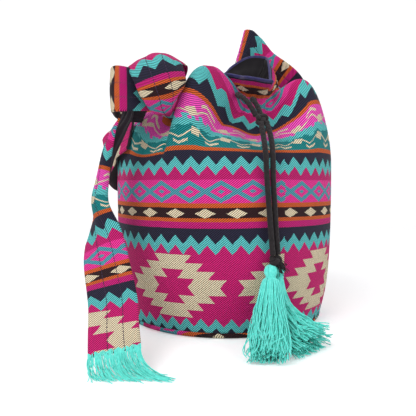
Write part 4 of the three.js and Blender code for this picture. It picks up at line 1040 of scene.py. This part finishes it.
# %% The tassels
HEAD, TASSEL_LENGTH, TASSEL_THREADS, LYING = 7, 100, 380, 6
END_KNOT_RADIUS, TASSEL_SNUG = 6, 0.94
TASSEL_HANG = (END_KNOT_RADIUS + HEAD) * TASSEL_SNUG + GAP
WAIST, TIE_START, TIE_END = HEAD * 0.62, HEAD * 1.8, HEAD * 2.3
TIE_TURNS, TIE_POINTS, TIE_RADIUS, TIE_PITCH = 6, 25, 4.9, 0.6


def tassel_tie(name, spine, along, side):
    angle = np.linspace(0, math.tau, TIE_POINTS)[:, None]
    climb = np.linspace(0, TIE_PITCH, TIE_POINTS)[:, None]
    tie_lines = []
    for turn in range(TIE_TURNS):
        place = int(round(TIE_START + TIE_PITCH * turn - HEAD))
        up = unit(np.cross(along[place], side))
        ring = (TIE_RADIUS + 0.25 * (turn % 2)) * (np.cos(angle) * side + 0.8 * np.sin(angle) * up)
        tie_lines.append(spine[place] + ring + along[place] * climb)
    return along_lines(name + "_tie_threads", tie_lines, threads_tree, mint_thread, thread_radius=0.5)


def tassel(name, hang, bearing, bends, fan, spread, sway, seed):
    dice = np.random.default_rng(seed)
    head = END_KNOT_CENTRE + unit(np.array(hang)) * TASSEL_HANG
    out = unit(np.array(bearing, float))
    drop = head[2] - LYING
    far = math.sqrt(max(TASSEL_LENGTH**2 - drop**2, 1))
    spots = [head + out * far * a - np.array([0, 0, drop * b]) for a, b in [(0, 0), *bends, (1, 1)]]
    spine, length = evenly(smooth(spots, 20), 1)
    along = unit(np.gradient(spine, axis=0))
    side = unit(np.cross([0, 0, 1], out))
    lines = []
    for _ in range(TASSEL_THREADS):
        angle, layer = dice.uniform(0, math.tau), math.sqrt(dice.uniform(0.08, 1))
        stop = min(dice.normal(1.01, 0.05), 1.08) * TASSEL_LENGTH
        reach = np.concatenate([np.linspace(0.3, 2 * HEAD, 9), np.linspace(2 * HEAD + 3, stop, 20)])
        ball = HEAD * np.sqrt(np.maximum(1 - ((reach - HEAD) / HEAD) ** 2, 0.0))
        opened = np.clip((reach - 2 * HEAD) / (TASSEL_LENGTH - HEAD), 0, 1) ** fan
        neck = np.where(reach < 2 * HEAD, np.maximum(ball, WAIST), mix(WAIST, spread, opened))
        radius = np.where(reach < HEAD, ball, neck) * layer
        place = np.clip((reach - HEAD) / length, 0, 1) * (len(spine) - 1)
        low, high = np.floor(place).astype(int), np.ceil(place).astype(int)
        centre = mix(spine[low], spine[high], (place - low)[:, None])
        centre = centre + along[0] * np.minimum(reach - HEAD, 0)[:, None]
        centre = centre + along[-1] * np.maximum(reach - HEAD - length, 0)[:, None]
        up = unit(np.cross(along[low], side))
        loose = np.clip((reach - TIE_END) / TASSEL_LENGTH, 0, 1)
        wave = loose * dice.normal(0, 4) * np.sin(reach / dice.uniform(7, 15) + dice.uniform(0, 6))
        wave = wave + loose * dice.normal(sway, 3.5)
        lift = loose * dice.normal(0, 2.5) * np.sin(reach / dice.uniform(8, 14) + dice.uniform(0, 6))
        line = centre + side * (radius * math.cos(angle) + wave)[:, None]
        line = line + up * (0.7 * radius * math.sin(angle) + lift)[:, None]
        line[:, 2] = np.maximum(line[:, 2], 0.5 + 3 * layer * loose)
        lines.append(line)
    made = along_lines(name + "_threads", lines, threads_tree, mint_thread, thread_radius=0.55)
    return made, tassel_tie(name, spine, along, side)


front_tassel, front_tie = tassel("tassel_front", hang=(-0.42, -0.38, -0.82), bearing=(-0.1, -0.99, 0),
                                 bends=[(0.08, 0.16), (0.34, 0.52), (0.68, 0.84)],
                                 fan=0.36, spread=19, sway=-2, seed=11)
side_tassel, side_tie = tassel("tassel_side", hang=(0.42, 0.5, -0.76), bearing=(0.72, -0.69, 0),
                               bends=[(0, 0.22), (0.04, 0.52), (0.43, 0.87)],
                               fan=1, spread=30, sway=-10, seed=23)

# %% [markdown]
# Below the end knot the two cord ends are cut and frayed, so a small brush of black yarn sticks out of it.
# Its threads spread a little at random round one direction, down to the right.

# %% Frayed cord ends
FRAYED_THREADS = 44
dice = np.random.default_rng(5)
share = np.linspace(0, 1, 7)[:, None]
frayed_lines = []
for _ in range(FRAYED_THREADS):
    start = END_KNOT_CENTRE + [3.5, -1.5, -1] + dice.normal(0, 1.3, 3)
    way = unit(np.array([0.45, -0.25, -0.8]) + dice.normal(0, 0.22, 3))
    curl = dice.normal(0, 1, 3) * share**2
    frayed_lines.append(start + way * share * dice.uniform(7, 12) + curl)
frayed = along_lines("drawstring_frayed_ends", frayed_lines, threads_tree, black_cord, thread_radius=0.4)

# %% [markdown]
# Now each piece is tied to the model: it rides on the model's root, and the solids of the model that it
# stands for are hidden. The cords, with the knots and tassels on them, and the sheets of cloth are declared
# with their
# real sizes.

# %% Tie the pieces to the model
for piece, slot, nodes in [
    (loop, "black_cord", ["drawstring_loop"]), (knot, "black_cord", ["drawstring_knot"]),
    (left_end, "black_cord", ["drawstring_tail_left"]), (right_end, "black_cord", ["drawstring_tail_right"]),
    (end_knot, "black_cord", ["drawstring_end_knot"]), (frayed, "black_cord", []),
    (bag, "jacquard", ["bag_body", "bag_shoulder", "bag_collar"]), (base, "jacquard", ["base_panel"]),
    (lining, "lining_cloth", ["lining"]), (lining_bottom, "lining_cloth", ["lining_base"]),
    (binding, "binding_tape", ["mouth_binding"]), (strap, "jacquard", ["shoulder_strap"]),
    (crown, "jacquard", ["knot_crown"]), (wrap, "jacquard", ["knot_wrap"]),
    (tail, "jacquard", ["tail_strap"]),
    (stitches, "binding_tape", []), (fringe, "mint_thread", ["tail_fringe"]),
    (front_tassel, "mint_thread", ["tassel_front"]), (front_tie, "mint_thread", ["tassel_front_tie"]),
    (side_tassel, "mint_thread", ["tassel_side"]), (side_tie, "mint_thread", ["tassel_side_tie"]),
]:
    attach(piece, "root")
    if nodes:
        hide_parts(*nodes)

# %% [markdown]
# The bag stands on a pale studio floor of smooth paper that runs up into a pale background in one bend. A
# little light of its own, seen only by the camera, lets it fade to white. One large soft lamp from the upper
# left front and a weaker one from the right give the cloth its form, and the pale room fills the rest.

# %% Floor
PAPER_PATCH, FLOOR_GLOW = 16.67, 0.3
FLOOR_FRONT, FLOOR_BEND, BEND_RADIUS, FLOOR_HALF, FLOOR_DROP = -2200, 1300, 900, 7000, 0.05
pale_floor, tree, shader = cloth("pale studio floor", 0.9, 0)
grain = add(tree, "TexNoise", add(tree, "TexCoord", out="Object"), None, per_metre(PAPER_PATCH), 2)
tree.links.new(add(tree, "MixRGB", grain, paint("f4f4f6"), paint("fafafb")), shader.inputs["Base Color"])
shader.inputs["Emission Color"].default_value = (1, 1, 1, 1)
seen = add(tree, "LightPath", out=None).outputs["Is Camera Ray"]
tree.links.new(add(tree, "Math:MULTIPLY", seen, FLOOR_GLOW), shader.inputs["Emission Strength"])
run = [(y, 0) for y in np.linspace(FLOOR_FRONT, FLOOR_BEND, 8)]
run += [(FLOOR_BEND + BEND_RADIUS * math.sin(a), BEND_RADIUS - BEND_RADIUS * math.cos(a))
        for a in np.linspace(0.1, math.pi / 2, 12)]
run += [(FLOOR_BEND + BEND_RADIUS, height) for height in (1400, 2000, 2800)]
sweep = np.array([[(x, y, z - FLOOR_DROP) for x in (-FLOOR_HALF, FLOOR_HALF)] for y, z in run])
floor = grid_piece("studio_floor", sweep, [pale_floor], wrap_columns=False)

# %% [markdown]
# A lamp shines along its own downward axis, so it is turned until that axis points at the middle of the
# bag. The room's white light is weaker for the cloth than for the camera and for reflections, so the
# background stays white while the folds keep their shade.

# %% Light
LAMP_AIM = [0, 0, 0.15]
ROOM_LIGHT, SEEN_LIGHT = 0.55, 0.45
for name, spot, power, width in [
    ("key lamp", (-0.9, -1.3, 1.5), 26, 1.4),
    ("fill lamp", (1.3, -0.9, 0.9), 8, 1.2),
]:
    lamp = bpy.data.lights.new(name, "AREA")
    lamp.energy = power
    lamp.size = width
    made = bpy.data.objects.new(name, lamp)
    made.location = spot
    x, y, z = np.array(spot) - LAMP_AIM
    made.rotation_euler = (math.atan2(math.hypot(x, y), z), 0, math.atan2(y, x) + math.pi / 2)
    bpy.context.collection.objects.link(made)
    print(name, power, "W")

world = bpy.data.worlds.new("pale room")
bpy.context.scene.world = world
world.use_nodes = True
tree = world.node_tree
sight = add(tree, "LightPath", out=None).outputs
seen = add(tree, "Math:MAXIMUM", sight["Is Camera Ray"], sight["Is Glossy Ray"])
strength = add(tree, "Math:MULTIPLY_ADD", seen, SEEN_LIGHT, ROOM_LIGHT)
tree.nodes["Background"].inputs["Color"].default_value = (1, 1, 1, 1)
tree.links.new(strength, tree.nodes["Background"].inputs["Strength"])
bpy.context.scene.view_settings.view_transform = "Standard"
